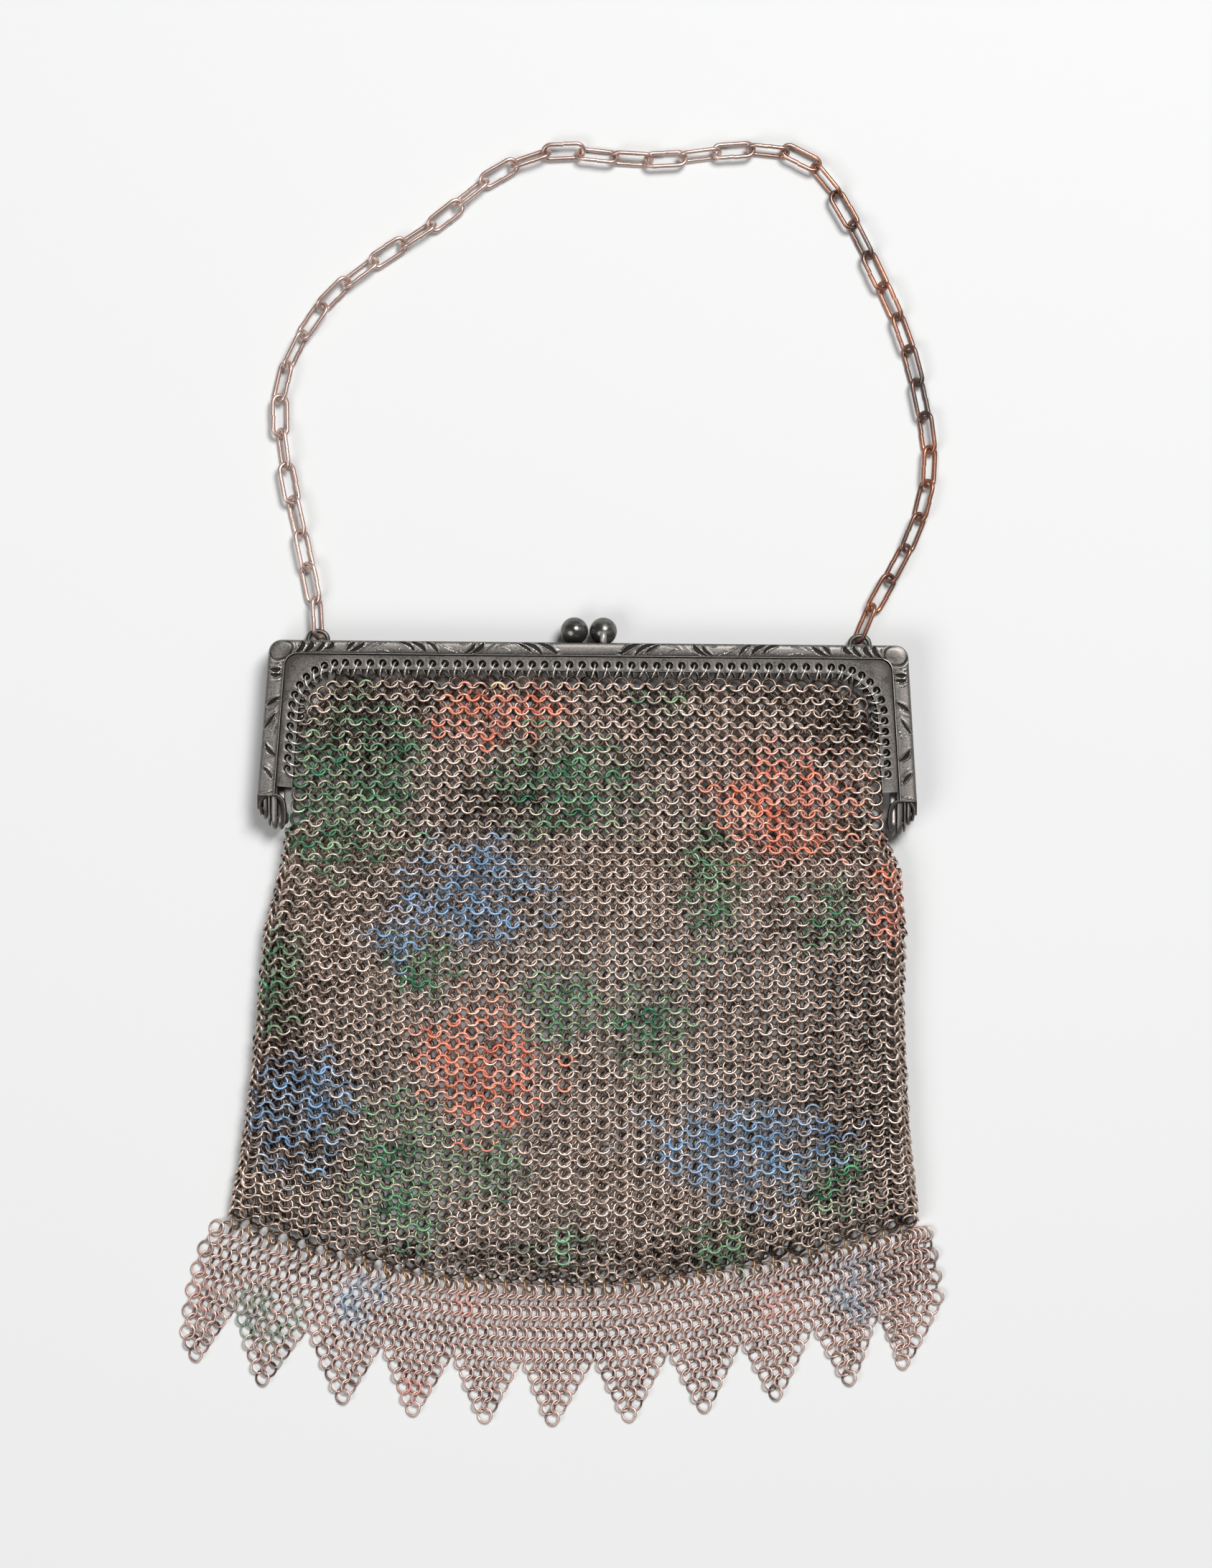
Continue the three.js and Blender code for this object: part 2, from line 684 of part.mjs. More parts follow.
// One loop round the bag at a share of its depth, a wall's thickness further in for the hollow
function bagLoop(down, shrink) {
  const lift = mouth_lift * rowValue('lift', down);
  const low = lift + shrink;
  const high = Math.max(mouth_front * rowValue('front', down) - shrink, low + ring_wire);
  const bend = (high - low) / 2;
  const roll = roll_height * rowValue('roll', down);
  const y = (across) => -bag_side_depth * down - sagAt(across) * down ** 3;
  const reach = (across) => halfWidth(across, down) - shrink - bend;
  const foldsAt = (across) => bag_folds.reduce((sum, fold) => (
    sum + fold.rise * Math.exp(-(((across - fold.across) / fold.breadth) ** 2))
  ), 0);
  const loop = front_stations.map((across) => {
    const rise = Math.abs(across) === 1 ? 0 : roll * foldsAt(across);
    return new THREE.Vector3(across * reach(across), y(across), high + rise);
  });
  const side = (hand) => {
    for (let i = 1; i < side_steps; i += 1) {
      const angle = Math.PI / 2 - hand * Math.PI * i / side_steps;
      const turn = hand > 0 ? angle : Math.PI - (Math.PI / 2 - Math.PI * i / side_steps);
      const x = hand * (reach(hand) + bend * Math.abs(Math.cos(turn)));
      const z = low + bend + bend * Math.sin(hand > 0 ? angle : -Math.PI / 2 + Math.PI * i / side_steps);
      loop.push(new THREE.Vector3(x, y(hand), z));
    }
  };
  side(1);
  for (const across of back_stations) {
    loop.push(new THREE.Vector3(across * reach(across), y(across), low));
  }
  side(-1);
  return loop;
}

function pouch(shrink) {
  const lowest = 1 - shrink / bag_side_depth;
  const downs = bag_rows.map((row) => row.down).filter((down) => down < lowest - 0.004);
  downs.push(lowest);
  const loops = downs.map((down) => bagLoop(down, shrink));
  return solidFrom(loft(loops, acrossLoop(loops[loops.length - 1])));
}

// The bag's mouth follows the flange, and below the hinges nothing is cut away.
function mouthPrism() {
  const below = hinge_drop + ear_radius + clearance;
  const wide = Math.max(bag_spread_left, bag_spread_right) + ring_diameter;
  const far = bag_side_depth + bag_sag + ring_diameter;
  const edge = outline(mouth_line, below);
  const shape = new THREE.Shape([
    ...edge,
    new THREE.Vector2(wide, -below - 1), new THREE.Vector2(wide, -far),
    new THREE.Vector2(-wide, -far), new THREE.Vector2(-wide, -below - 1),
  ]);
  const prism = new THREE.ExtrudeGeometry(shape, { depth: frame_thickness * 3, bevelEnabled: false });
  return solidFrom(prism.translate(0, 0, -frame_thickness));
}

function bagSolid() {
  return pouch(0).subtract(pouch(mesh_wall)).intersect(mouthPrism());
}

// The fringe's top edge runs along the bag's lower edge.
function fringeEdge(across) {
  const y = -bag_side_depth - sagAt(across) - clearance;
  return new THREE.Vector2(across * halfWidth(across, 1), y);
}

// A point of the fringe so far down a column
function fringePoint(column, drop) {
  const across = tableValue(fringe_tops, 'column', 'place', column);
  const place = across * (across < 0 ? bag_spread_left : bag_spread_right);
  const drift = fringe_drift * tableValue(fringe_drifts, 'column', 'drift', column);
  const ease = 1 - Math.exp(-drop / drift_reach);
  const whole = 1 - Math.exp(-(fringe_band + point_drop) / drift_reach);
  const edge = fringeEdge(THREE.MathUtils.clamp(across, -1, 1));
  return new THREE.Vector2(place + drift * ease / whole, edge.y - drop);
}

function fringeLength(column) {
  const beside = Math.abs(((column - first_tip_column + point_columns / 2) % point_columns + point_columns)
    % point_columns - point_columns / 2);
  return fringe_band + point_drop * (1 - beside / (point_columns / 2));
}

function fringeGeometry() {
  const points = [];
  for (let i = 0; i <= fringe_top_steps; i += 1) {
    points.push(fringeEdge(-1 + 2 * i / fringe_top_steps));
  }
  for (const share of [0.3, 0.7]) points.push(fringePoint(fringe_columns, fringeLength(fringe_columns) * share));
  const turns = [fringe_columns];
  for (let column = first_tip_column; column < fringe_columns; column += point_columns / 2) {
    turns.push(column);
  }
  turns.push(0);
  turns.sort((a, b) => b - a);
  for (const column of turns) points.push(fringePoint(column, fringeLength(column)));
  for (const share of [0.7, 0.3]) points.push(fringePoint(0, fringeLength(0) * share));
  const thickness = ring_diameter * Math.sin(fringe_tilt * deg) + ring_wire * Math.cos(fringe_tilt * deg);
  return new THREE.ExtrudeGeometry(new THREE.Shape(points), { depth: thickness, bevelEnabled: false });
}

const gunmetal = new THREE.MeshStandardMaterial({ color: 0x57504e, roughness: 0.34, metalness: 1 });
const dark_ball = new THREE.MeshStandardMaterial({ color: 0x3f3a3b, roughness: 0.22, metalness: 1 });
const ring_metal = new THREE.MeshStandardMaterial({ color: 0xb8a79f, roughness: 0.42, metalness: 0.9 });
const fringe_metal = new THREE.MeshStandardMaterial({ color: 0x8a7061, roughness: 0.42, metalness: 0.9 });
const chain_metal = new THREE.MeshStandardMaterial({ color: 0x927263, roughness: 0.32, metalness: 1 });

const purse = new THREE.Group();

function addPiece(name, geometry, material) {
  const mesh = new THREE.Mesh(geometry, material);
  mesh.name = name;
  purse.add(mesh);
  return mesh;
}

addPiece('front_frame', geometryFrom(frameHalf(outer_ear_x)), gunmetal).position.z = frame_thickness / 2;

let back_half = solidFrom(flipped(geometryFrom(frameHalf(inner_ear_x)), 'z'));
for (const hand of [-1, 1]) back_half = back_half.add(chainEar(hand * chain_ear_spacing / 2));
addPiece('back_frame', geometryFrom(back_half), gunmetal).position.z = frame_thickness / 2;

addPiece('hinge_rivet_right', rivetGeometry(), gunmetal);
addPiece('hinge_rivet_left', mirroredInX(rivetGeometry()), gunmetal);

const ball = geometryFrom(claspBall());
addPiece('front_clasp_ball', ball, dark_ball).position.set(ball_offset, ball_rise, frame_thickness / 2);
addPiece('back_clasp_ball', flipped(ball, 'z'), dark_ball)
  .position.set(-ball_offset, ball_rise, frame_thickness / 2);

addPiece('mesh_bag', geometryFrom(bagSolid()), ring_metal);
addPiece('mesh_fringe', fringeGeometry(), fringe_metal);

const link = linkGeometry();
const layout = chainLayout();
const ears = [-1, 1].map((hand) => new THREE.Vector3(hand * chain_ear_spacing / 2, ear_apex, 0));

// A link points from the one before it to the one after it, and an end link points at its ear.
function linkAhead(i) {
  const here = layout[i].place;
  const last = i === layout.length - 1;
  const before = i === 0 ? ears[0] : layout[i - 1].place;
  const from = last ? here : before;
  const to = last ? ears[1] : i === 0 ? here : layout[i + 1].place;
  return to.clone().sub(from).normalize();
}

layout.forEach(({ place, roll }, i) => {
  const ahead = linkAhead(i);
  const side = new THREE.Vector3(-ahead.y, ahead.x, 0);
  const broad = side.multiplyScalar(Math.cos(roll * deg)).setZ(Math.sin(roll * deg));
  const near = layout.slice(Math.max(i - 1, 0), i + 2).map((other) => restHeight(other.roll));
  const mesh = addPiece(`chain_link_${String(i + 1).padStart(2, '0')}`, link, chain_metal);
  const turn = new THREE.Matrix4().makeBasis(ahead, broad, ahead.clone().cross(broad));
  mesh.quaternion.setFromRotationMatrix(turn);
  mesh.position.set(place.x, place.y, Math.max(...near));
});

// The origin is under the middle of the whole purse, on the surface it lies on.
const box = new THREE.Box3().setFromObject(purse, true);
const middle = box.getCenter(new THREE.Vector3());
purse.position.set(-middle.x, -middle.y, -box.min.z);

export default purse;
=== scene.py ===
import math

import bmesh
import bpy
import numpy as np
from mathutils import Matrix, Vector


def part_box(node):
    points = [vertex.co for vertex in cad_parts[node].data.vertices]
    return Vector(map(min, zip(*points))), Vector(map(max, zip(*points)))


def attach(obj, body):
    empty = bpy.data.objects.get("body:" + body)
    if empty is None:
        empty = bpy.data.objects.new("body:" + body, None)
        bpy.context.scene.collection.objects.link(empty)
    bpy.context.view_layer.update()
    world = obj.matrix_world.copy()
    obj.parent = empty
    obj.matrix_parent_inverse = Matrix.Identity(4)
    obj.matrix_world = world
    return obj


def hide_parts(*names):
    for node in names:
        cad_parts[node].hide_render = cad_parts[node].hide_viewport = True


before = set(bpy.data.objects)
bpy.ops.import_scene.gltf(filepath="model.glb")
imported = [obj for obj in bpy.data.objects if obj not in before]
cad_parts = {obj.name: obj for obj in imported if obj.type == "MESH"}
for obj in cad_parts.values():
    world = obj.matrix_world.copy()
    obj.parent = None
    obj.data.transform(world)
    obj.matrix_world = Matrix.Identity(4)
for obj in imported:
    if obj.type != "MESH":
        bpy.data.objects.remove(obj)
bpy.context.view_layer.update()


# The frame is two halves stamped from sheet metal and plated gunmetal grey. Each is an arch: a
# crowned band outside, chased with lobes and leaves, and a flat flange inside it with a row of
# punched holes for the mesh.
frame_width = 147.5
hinge_width = 152.5
frame_depth = 36
half_level = 5.5
corner_radius = 3
wall_thickness = 1
wall_foot = 0.15
wall_tail = 3.2
top_band = 3.1
side_band = 3.9
flange_face = 4.15
flange_underside = 3.35
flange_corner_radius = 10
flange_inset_top = 6.6
flange_inset_side = 7.8
flange_end = 34
hole_radius = 0.85
hole_from_edge = 1.5
top_hole_pitch = 2.88
side_hole_pitch = 2.47
last_hole_from_end = 4.5
groove = 0.24
sharp_angle = 38
flare = math.atan((hinge_width - frame_width) / 2 / frame_depth)

lowest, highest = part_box("front_frame")
frame_middle = (lowest[0] + highest[0]) / 2
top_edge = highest[1]


def placed(points):
    """Millimetres from the middle of the frame's top edge, turned into the model's metres"""
    return np.asarray(points, float) * 0.001 + (frame_middle, top_edge, 0)


def inset(top, side, radius):
    """Right half of a line inside the frame's outer edge: its top, its side, and its round corner"""
    side_x = frame_width / 2 - side / math.cos(flare)
    centre_y = -top - radius
    centre_x = side_x - (radius + centre_y * math.sin(flare)) / math.cos(flare)
    return top, side_x, radius, centre_x, centre_y


def along(line, distance):
    """Places at some distances along a line from the middle of the top, and the way outward there"""
    top, side_x, radius, centre_x, centre_y = line
    arc = radius * (math.pi / 2 - flare)
    angle = math.pi / 2 - np.clip((distance - centre_x) / radius, 0, math.pi / 2 - flare)
    outward = np.stack([np.cos(angle), np.sin(angle)], -1)
    before = np.minimum(distance, centre_x)
    after = np.maximum(distance - centre_x - arc, 0)
    places = radius * outward
    places[..., 0] += before + after * math.sin(flare)
    places[..., 1] += centre_y - after * math.cos(flare)
    return places, outward


def line_length(line, end):
    """Length of a line's right half down to a level below the top edge"""
    top, side_x, radius, centre_x, centre_y = line
    arc = radius * (math.pi / 2 - flare)
    corner_y = centre_y + radius * math.sin(flare)
    return centre_x + arc + (end + corner_y) / math.cos(flare)


def cast(places, outward, line):
    """Where rays from some places cut another line"""
    points, _ = along(line, np.linspace(0, line_length(line, frame_depth + 12), 1200))
    starts = points[:-1]
    steps = points[1:] - starts
    gap = starts[None] - places[:, None]
    across = outward[:, None, 0] * steps[None, :, 1] - outward[:, None, 1] * steps[None, :, 0]
    across = np.where(np.abs(across) < 1e-12, 1e-12, across)
    far = (gap[..., 0] * steps[None, :, 1] - gap[..., 1] * steps[None, :, 0]) / across
    share = (gap[..., 0] * outward[:, None, 1] - gap[..., 1] * outward[:, None, 0]) / across
    far = np.where((share >= -1e-6) & (share <= 1 + 1e-6), far, np.inf)
    nearest = np.argmin(np.abs(far), axis=1)
    reach = far[np.arange(len(places)), nearest]
    return places + outward * reach[:, None]


def mesh_from(name, points, faces):
    """A mesh of four-cornered faces over points in millimetres"""
    mesh = bpy.data.meshes.new(name)
    mesh.vertices.add(len(points))
    mesh.vertices.foreach_set("co", placed(points).ravel())
    mesh.loops.add(faces.size)
    mesh.loops.foreach_set("vertex_index", faces.ravel())
    mesh.polygons.add(len(faces))
    mesh.polygons.foreach_set("loop_start", np.arange(0, faces.size, 4))
    mesh.update(calc_edges=True)
    return mesh


def object_of(name, data):
    """A new object in the scene that holds a mesh, a light or the camera's lens"""
    made = bpy.data.objects.new(name, data)
    bpy.context.collection.objects.link(made)
    return made


class Metalwork:
    """Points and faces of one piece, put together patch by patch"""

    def __init__(self):
        self.points = []
        self.faces = []
        self.wear = []
        self.total = 0

    def patch(self, points, loop=False, wear=None):
        """Faces over rows and columns of points. In a loop the last column runs on into the first."""
        rows, columns = points.shape[:2]
        index = self.total + np.arange(rows * columns).reshape(rows, columns)
        after = np.roll(index, -1, axis=1)
        if not loop:
            index = index[:, :-1]
            after = after[:, :-1]
        corners = np.stack([index[:-1], after[:-1], after[1:], index[1:]], -1)
        self.faces.append(corners.reshape(-1, 4))
        self.points.append(points.reshape(-1, 3))
        self.wear.append(np.full(rows * columns, 0.5) if wear is None else wear.reshape(-1))
        self.total += rows * columns

    def cap(self, loop):
        """A face over the end of a loop of points"""
        centre = np.broadcast_to(loop.mean(0), loop.shape)
        self.patch(np.stack([loop, centre]), loop=True)

    def mirror(self):
        """Adds the left side, which is the right side's mirror image"""
        self.faces += [faces[:, ::-1] + self.total for faces in self.faces]
        self.points += [points * (-1, 1, 1) for points in self.points]
        self.wear += self.wear
        self.total *= 2

    def piece(self, name, level=0, turned=1):
        """The finished piece, lifted to a level; turned is -1 for the half that lies underneath"""
        points = np.concatenate(self.points)
        points = points * (1, 1, turned) + (0, 0, level)
        mesh = mesh_from(name, points, np.concatenate(self.faces))
        worn = mesh.attributes.new("wear", "FLOAT", "POINT")
        worn.data.foreach_set("value", np.concatenate(self.wear))
        shape = bmesh.new()
        shape.from_mesh(mesh)
        bmesh.ops.remove_doubles(shape, verts=shape.verts, dist=2e-6)
        bmesh.ops.dissolve_degenerate(shape, edges=shape.edges, dist=1e-6)
        bmesh.ops.recalc_face_normals(shape, faces=shape.faces)
        shape.to_mesh(mesh)
        shape.free()
        mesh.shade_smooth()
        mesh.set_sharp_from_angle(angle=math.radians(sharp_angle))
        return object_of(name, mesh)


# The chasing is cut lobes near the corners and sprays of leaves between them, left bright along
# their edges. Each stroke has its first point, its bend and its last point, then its breadth and
# its rise. A point is a distance from the middle of the top, or from the corner on the sides, and
# a share of the band's width from its outer edge.
top_strokes = [
    (69.1, 0.08, 67.7, 0.45, 68.9, 0.95, 1.5, -0.3), (66.2, 0.08, 65.2, 0.45, 67.7, 0.97, 1.3, -0.3),
    (64.2, 0.08, 63.3, 0.4, 65.8, 0.97, 1.3, -0.3), (61.4, 0.12, 60.8, 0.45, 63.3, 0.9, 1.2, -0.3),
    (59.4, 0.12, 58.6, 0.45, 60.9, 0.66, 1.1, -0.3), (67.8, 0.12, 67.4, 0.6, 68.7, 0.97, 0.35, 0.2),
    (65.3, 0.15, 65.3, 0.6, 66.6, 0.97, 0.35, 0.2), (63.0, 0.12, 63.0, 0.6, 64.4, 0.97, 0.35, 0.2),
    (60.8, 0.2, 61.0, 0.65, 62.6, 0.95, 0.35, 0.2), (54.1, 0.12, 55.2, 0.35, 55.8, 0.72, 0.9, -0.28),
    (51.9, 0.15, 52.8, 0.62, 55.0, 0.78, 1.1, -0.3), (54.2, 0.92, 52.5, 0.45, 48.8, 0.12, 0.45, 0.22),
    (50.6, 0.55, 49.0, 0.2, 45.3, 0.12, 0.35, 0.2), (50.6, 0.85, 47.9, 0.55, 45.0, 0.95, 0.35, 0.2),
    (43.8, 0.55, 43.6, 0.72, 43.9, 0.82, 0.5, 0.22), (43.8, 0.1, 41.4, 0.1, 40.2, 0.75, 0.9, -0.3),
    (40.8, 0.1, 38.6, 0.2, 37.6, 0.82, 1.1, -0.3), (37.7, 0.06, 35.8, 0.2, 34.7, 0.9, 0.9, -0.28),
    (43.4, 0.2, 41.6, 0.3, 40.8, 0.62, 0.3, 0.2), (39.8, 0.3, 38.9, 0.5, 38.4, 0.86, 0.3, 0.2),
    (37.2, 0.15, 36.0, 0.4, 35.4, 0.85, 0.3, 0.2), (35.9, 0.06, 33.8, 0.45, 30.3, 0.82, 0.35, 0.2),
    (35.2, 0.12, 33.0, 0.42, 30.8, 0.66, 0.3, 0.18), (34.3, 0.3, 32.2, 0.75, 29.0, 0.98, 0.35, 0.2),
    (29.9, 0.72, 29.3, 0.78, 29.4, 0.88, 0.5, 0.22), (29.9, 0.2, 28.6, 0.3, 26.8, 0.05, 0.35, 0.2),
    (26.3, 0.14, 26.6, 0.6, 28.6, 0.86, 0.75, -0.28), (24.3, 0.06, 24.6, 0.55, 27.2, 0.9, 1.1, -0.3),
    (21.2, 0.1, 22.9, 0.4, 24.1, 0.82, 0.35, 0.2), (22.1, 0.63, 20.4, 0.08, 16.1, 0.14, 0.4, 0.22),
    (21.4, 0.5, 19.2, 0.3, 17.4, 0.97, 0.35, 0.2), (16.8, 0.8, 16.5, 0.88, 16.8, 0.95, 0.5, 0.22),
    (16.3, 0.14, 14.4, 0.3, 13.1, 0.78, 0.75, -0.28), (15.4, 0.1, 12.4, 0.1, 10.6, 1.0, 1.1, -0.3),
    (11.7, 0.1, 9.2, 0.15, 7.0, 1.0, 1.1, -0.3), (14.0, 0.3, 12.2, 0.45, 10.9, 0.97, 0.35, 0.2),
    (11.3, 0.28, 9.4, 0.5, 7.3, 1.0, 0.35, 0.2),
]
side_strokes = [
    (1.1, 0.2, 1.5, 0.5, 1.1, 0.85, 1.1, -0.3), (3.1, 0.2, 3.6, 0.5, 3.1, 0.85, 1.1, -0.3),
    (4.3, 0.2, 4.8, 0.5, 4.3, 0.85, 0.9, -0.3), (2.1, 0.15, 2.4, 0.5, 2.1, 0.9, 0.3, 0.2),
    (5.2, 0.2, 6.6, 0.5, 5.4, 0.85, 0.35, 0.2), (9.6, 0.85, 10.6, 0.45, 11.6, 0.15, 1.0, -0.3),
    (10.5, 0.85, 12.4, 0.6, 13.0, 0.14, 0.4, 0.2), (12.8, 0.85, 15.2, 0.55, 17.4, 0.2, 0.35, 0.2),
    (13.5, 0.85, 16.0, 0.55, 18.0, 0.45, 0.35, 0.2), (14.6, 0.88, 17.5, 0.72, 18.5, 0.7, 0.3, 0.2),
    (13.2, 0.7, 15.4, 0.38, 16.8, 0.12, 0.7, -0.28), (23.0, 0.88, 22.4, 0.45, 20.5, 0.27, 1.0, -0.3),
    (23.2, 0.74, 23.0, 0.4, 21.6, 0.2, 0.35, 0.2), (27.7, 0.9, 25.9, 0.7, 24.6, 0.33, 0.35, 0.2),
    (28.6, 0.8, 27.0, 0.6, 26.0, 0.25, 0.8, -0.25), (31.4, 1.0, 31.6, 0.5, 32.1, 0.0, 0.6, 0.28),
]


def band_height(distance, across, width, side):
    """Height of the chasing over the crown, in millimetres"""
    strokes = side_strokes if side else top_strokes
    height = np.zeros_like(distance)
    steps = np.linspace(0, 1, 26)
    for s0, w0, s1, w1, s2, w2, breadth, rise in strokes:
        near = (distance > min(s0, s1, s2) - breadth) & (distance < max(s0, s1, s2) + breadth)
        if not near.any():
            continue
        curve_s = (1 - steps) ** 2 * s0 + 2 * steps * (1 - steps) * s1 + steps ** 2 * s2
        curve_w = (1 - steps) ** 2 * w0 + 2 * steps * (1 - steps) * w1 + steps ** 2 * w2
        ds = distance[near][:, None] - curve_s
        dw = (across[near][:, None] - curve_w) * width
        apart = np.sqrt(ds ** 2 + dw ** 2)
        nearest = np.argmin(apart, axis=1)
        taper = np.sin(np.pi * np.clip(steps[nearest], 0.04, 0.96)) ** 0.7
        share = np.clip(apart.min(axis=1) / (breadth / 2 * taper), 0, 1)
        bump = rise * (1 - share ** 2) ** 1.5
        if rise < -0.2:
            beside = apart.min(axis=1) - breadth / 2 * taper
            bump = bump + 0.2 * np.exp(-((beside - 0.12) / 0.11) ** 2)
        now = height[near]
        height[near] = np.where(np.abs(bump) > np.abs(now), bump, now)
    return height


band_line = inset(top_band, side_band, corner_radius)
arc_start = band_line[3]
arc_end = arc_start + corner_radius * (math.pi / 2 - flare)
band_end = line_length(band_line, frame_depth)
stops = np.concatenate([
    np.linspace(0, 7.5, 12, endpoint=False),
    np.arange(7.5, arc_start, 0.16),
    np.linspace(arc_start, arc_end, 64, endpoint=False),
    np.linspace(arc_end, band_end, 220),
])
places, outward = along(band_line, stops)
# The rays turn right round to the level of the hinges, so that the band ends square.
fan = (np.pi / 2 - np.arctan2(outward[:, 1], outward[:, 0])) * (np.pi / 2) / (np.pi / 2 - flare)
outward = np.stack([np.sin(fan), np.cos(fan)], -1)
outer_edge = cast(places, outward, inset(0, 0, corner_radius))
corner_at = (arc_start + arc_end) / 2

frame_body = Metalwork()


def band_row(share, level, tail=0.0, beyond=0.0):
    """One line of the frame's section: a share of the band's width in from the outer edge, or so
    many millimetres further in, at a level; the tail is how much longer its lower end is"""
    row = outer_edge + (places - outer_edge) * share
    row = row - outward * beyond
    longer = np.clip((-row[:, 1] - frame_depth + 6) / 6, 0, 1) ** 2 * tail
    levels = np.broadcast_to(level, stops.shape)
    return np.stack([row[:, 0] + longer * math.tan(flare), row[:, 1] - longer, levels], -1)


# The crown swells between its two edges. A plain dome covers each corner.
crown_shares = np.linspace(0.055, 0.93, 22)
crown_foot = 4.72
crown_swell = 0.46
chasing_top = 5.48
dome_radius = 2.2
rows = [band_row(0, wall_foot, wall_tail), band_row(0, 2.6, wall_tail * 0.45), band_row(0, 4.1)]
worn_rows = [np.full(len(stops), 0.35)] * 3
for share in crown_shares:
    crown = crown_foot + crown_swell * (1 - abs(share * 2 - 0.98) ** 3.0)
    down = np.maximum(stops - corner_at, 0)
    relief = np.where(
        stops < corner_at,
        band_height(stops, np.full_like(stops, share), top_band, False),
        band_height(down, np.full_like(stops, share), side_band, True),
    )
    from_dome = np.hypot((stops - corner_at) * 1.1, (share - 0.45) * 3.0)
    rim = 0.07 * np.exp(-((from_dome - 1.95) / 0.13) ** 2)
    dip = 0.12 * np.exp(-((from_dome - 1.65) / 0.15) ** 2)
    relief = np.where(from_dome < dome_radius, rim - dip - 0.03, relief)
    edge_fade = np.clip(min(share - 0.03, 0.97 - share) / 0.06, 0, 1)
    relief = relief * edge_fade
    rows.append(band_row(share, np.minimum(crown + relief, chasing_top)))
    worn_rows.append(0.5 + relief * 1.6)
for share, level, beyond, shine in [
    (0.945, 4.62, 0, 0.3), (0.96, 4.66, 0, 0.8), (0.98, 4.66, 0, 0.95), (1.0, 4.5, 0, 0.6),
    (1.0, 3.85, 0.03, 0.05), (1.0, 3.82, groove + 0.1, 0.05),
    (1.0, flange_underside, groove + 0.1, 0.1),
]:
    rows.append(band_row(share, level, beyond=beyond))
    worn_rows.append(np.full(len(stops), shine))
inner = inset(wall_thickness, wall_thickness, corner_radius)
inner_wall = cast(places, outward, inner)
rows.append(np.column_stack([inner_wall, np.full(len(stops), flange_underside)]))
foot = band_row(0, wall_foot, wall_tail)
foot[:, :2] += inner_wall - outer_edge
rows.append(foot)
rows.append(rows[0])
worn_rows += [np.full(len(stops), 0.2)] * 3
section = np.stack(rows)
frame_body.patch(section, wear=np.stack(worn_rows))
frame_body.cap(section[:-1, -1])

# The flange has one cell round each punched hole, with a burnished edge.
hole_line = inset(
    flange_inset_top - hole_from_edge, flange_inset_side - hole_from_edge,
    flange_corner_radius + hole_from_edge,
)
hole_distances = list(np.arange(top_hole_pitch / 2, hole_line[3], top_hole_pitch))
pitches = [top_hole_pitch] * len(hole_distances)
distance = hole_distances[-1] + side_hole_pitch
while along(hole_line, np.array([distance]))[0][0, 1] > last_hole_from_end - frame_depth:
    hole_distances.append(distance)
    pitches.append(side_hole_pitch)
    distance += side_hole_pitch
borders = [0.0]
for before, after in zip(hole_distances[:-1], hole_distances[1:]):
    borders.append((before + after) / 2)
borders.append(hole_distances[-1] + side_hole_pitch / 2)
plate_end = line_length(hole_line, flange_end)


def on_flange(distance, offset, level):
    """A point of the flange: so far along the holes' line, so far outward of it"""
    place, way = along(hole_line, np.asarray(distance, float))
    flat = place + way * np.asarray(offset, float)[..., None]
    levels = np.broadcast_to(level, flat.shape[:-1])
    return np.concatenate([flat, levels[..., None]], -1)


edge_steps = np.linspace(-1, 1, 6)[:-1]
round_angles = np.radians(-135 + 18 * np.arange(20))
hole_centres = []
for middle, left, right in zip(hole_distances, borders[:-1], borders[1:]):
    hole_centres.append(on_flange(middle, 0.0, flange_face)[:2])
    half = hole_from_edge - 0.1
    corners_s = np.concatenate([
        np.interp(edge_steps, [-1, 1], [left, right]), np.full(5, right),
        np.interp(-edge_steps, [-1, 1], [left, right]), np.full(5, left),
    ])
    corners_o = np.concatenate([
        np.full(5, -half), edge_steps * half, np.full(5, half), -edge_steps * half,
    ])
    cos, sin = np.cos(round_angles), np.sin(round_angles)
    cell = [on_flange(corners_s, corners_o, flange_face)]
    for radius, level in [
        (hole_radius + 0.17, flange_face), (hole_radius + 0.08, flange_face - 0.03),
        (hole_radius, flange_face - 0.12), (hole_radius, flange_underside),
    ]:
        cell.append(on_flange(middle + radius * cos, radius * sin, level))
    cell.append(on_flange(corners_s, corners_o, flange_underside))
    shine = np.repeat([0.42, 0.5, 0.75, 0.5, 0.1, 0.2], 20).reshape(6, 20)
    frame_body.patch(np.stack(cell), loop=True, wear=shine)
hole_centres = np.array(hole_centres)

# The flange's inner edge is rubbed bright, and its outer edge runs plain to the band's groove.
edge_distances = np.concatenate([
    np.linspace(left, right, 6)[:-1] for left, right in zip(borders[:-1], borders[1:])
])
edge_distances = np.append(edge_distances, [borders[-1], (borders[-1] + plate_end) / 2, plate_end])
edge_section = [
    (-half, flange_face), (-half - 0.03, flange_face - 0.005), (-half - 0.08, flange_face - 0.04),
    (-half - 0.1, flange_face - 0.12), (-half - 0.1, flange_underside), (-half, flange_underside),
]
inner_edge = [
    on_flange(edge_distances, np.full(len(edge_distances), offset), level) for offset, level in edge_section
]
shine = np.repeat([0.45, 0.9, 1.0, 0.8, 0.3, 0.2], len(edge_distances)).reshape(6, -1)
frame_body.patch(np.stack(inner_edge), wear=shine)
ring_places, ring_outward = along(hole_line, edge_distances)
groove_line = inset(top_band + groove, side_band + groove, corner_radius)
seam = cast(ring_places, ring_outward, groove_line)
start = on_flange(edge_distances, np.full(len(edge_distances), half), flange_face)
plain = [start]
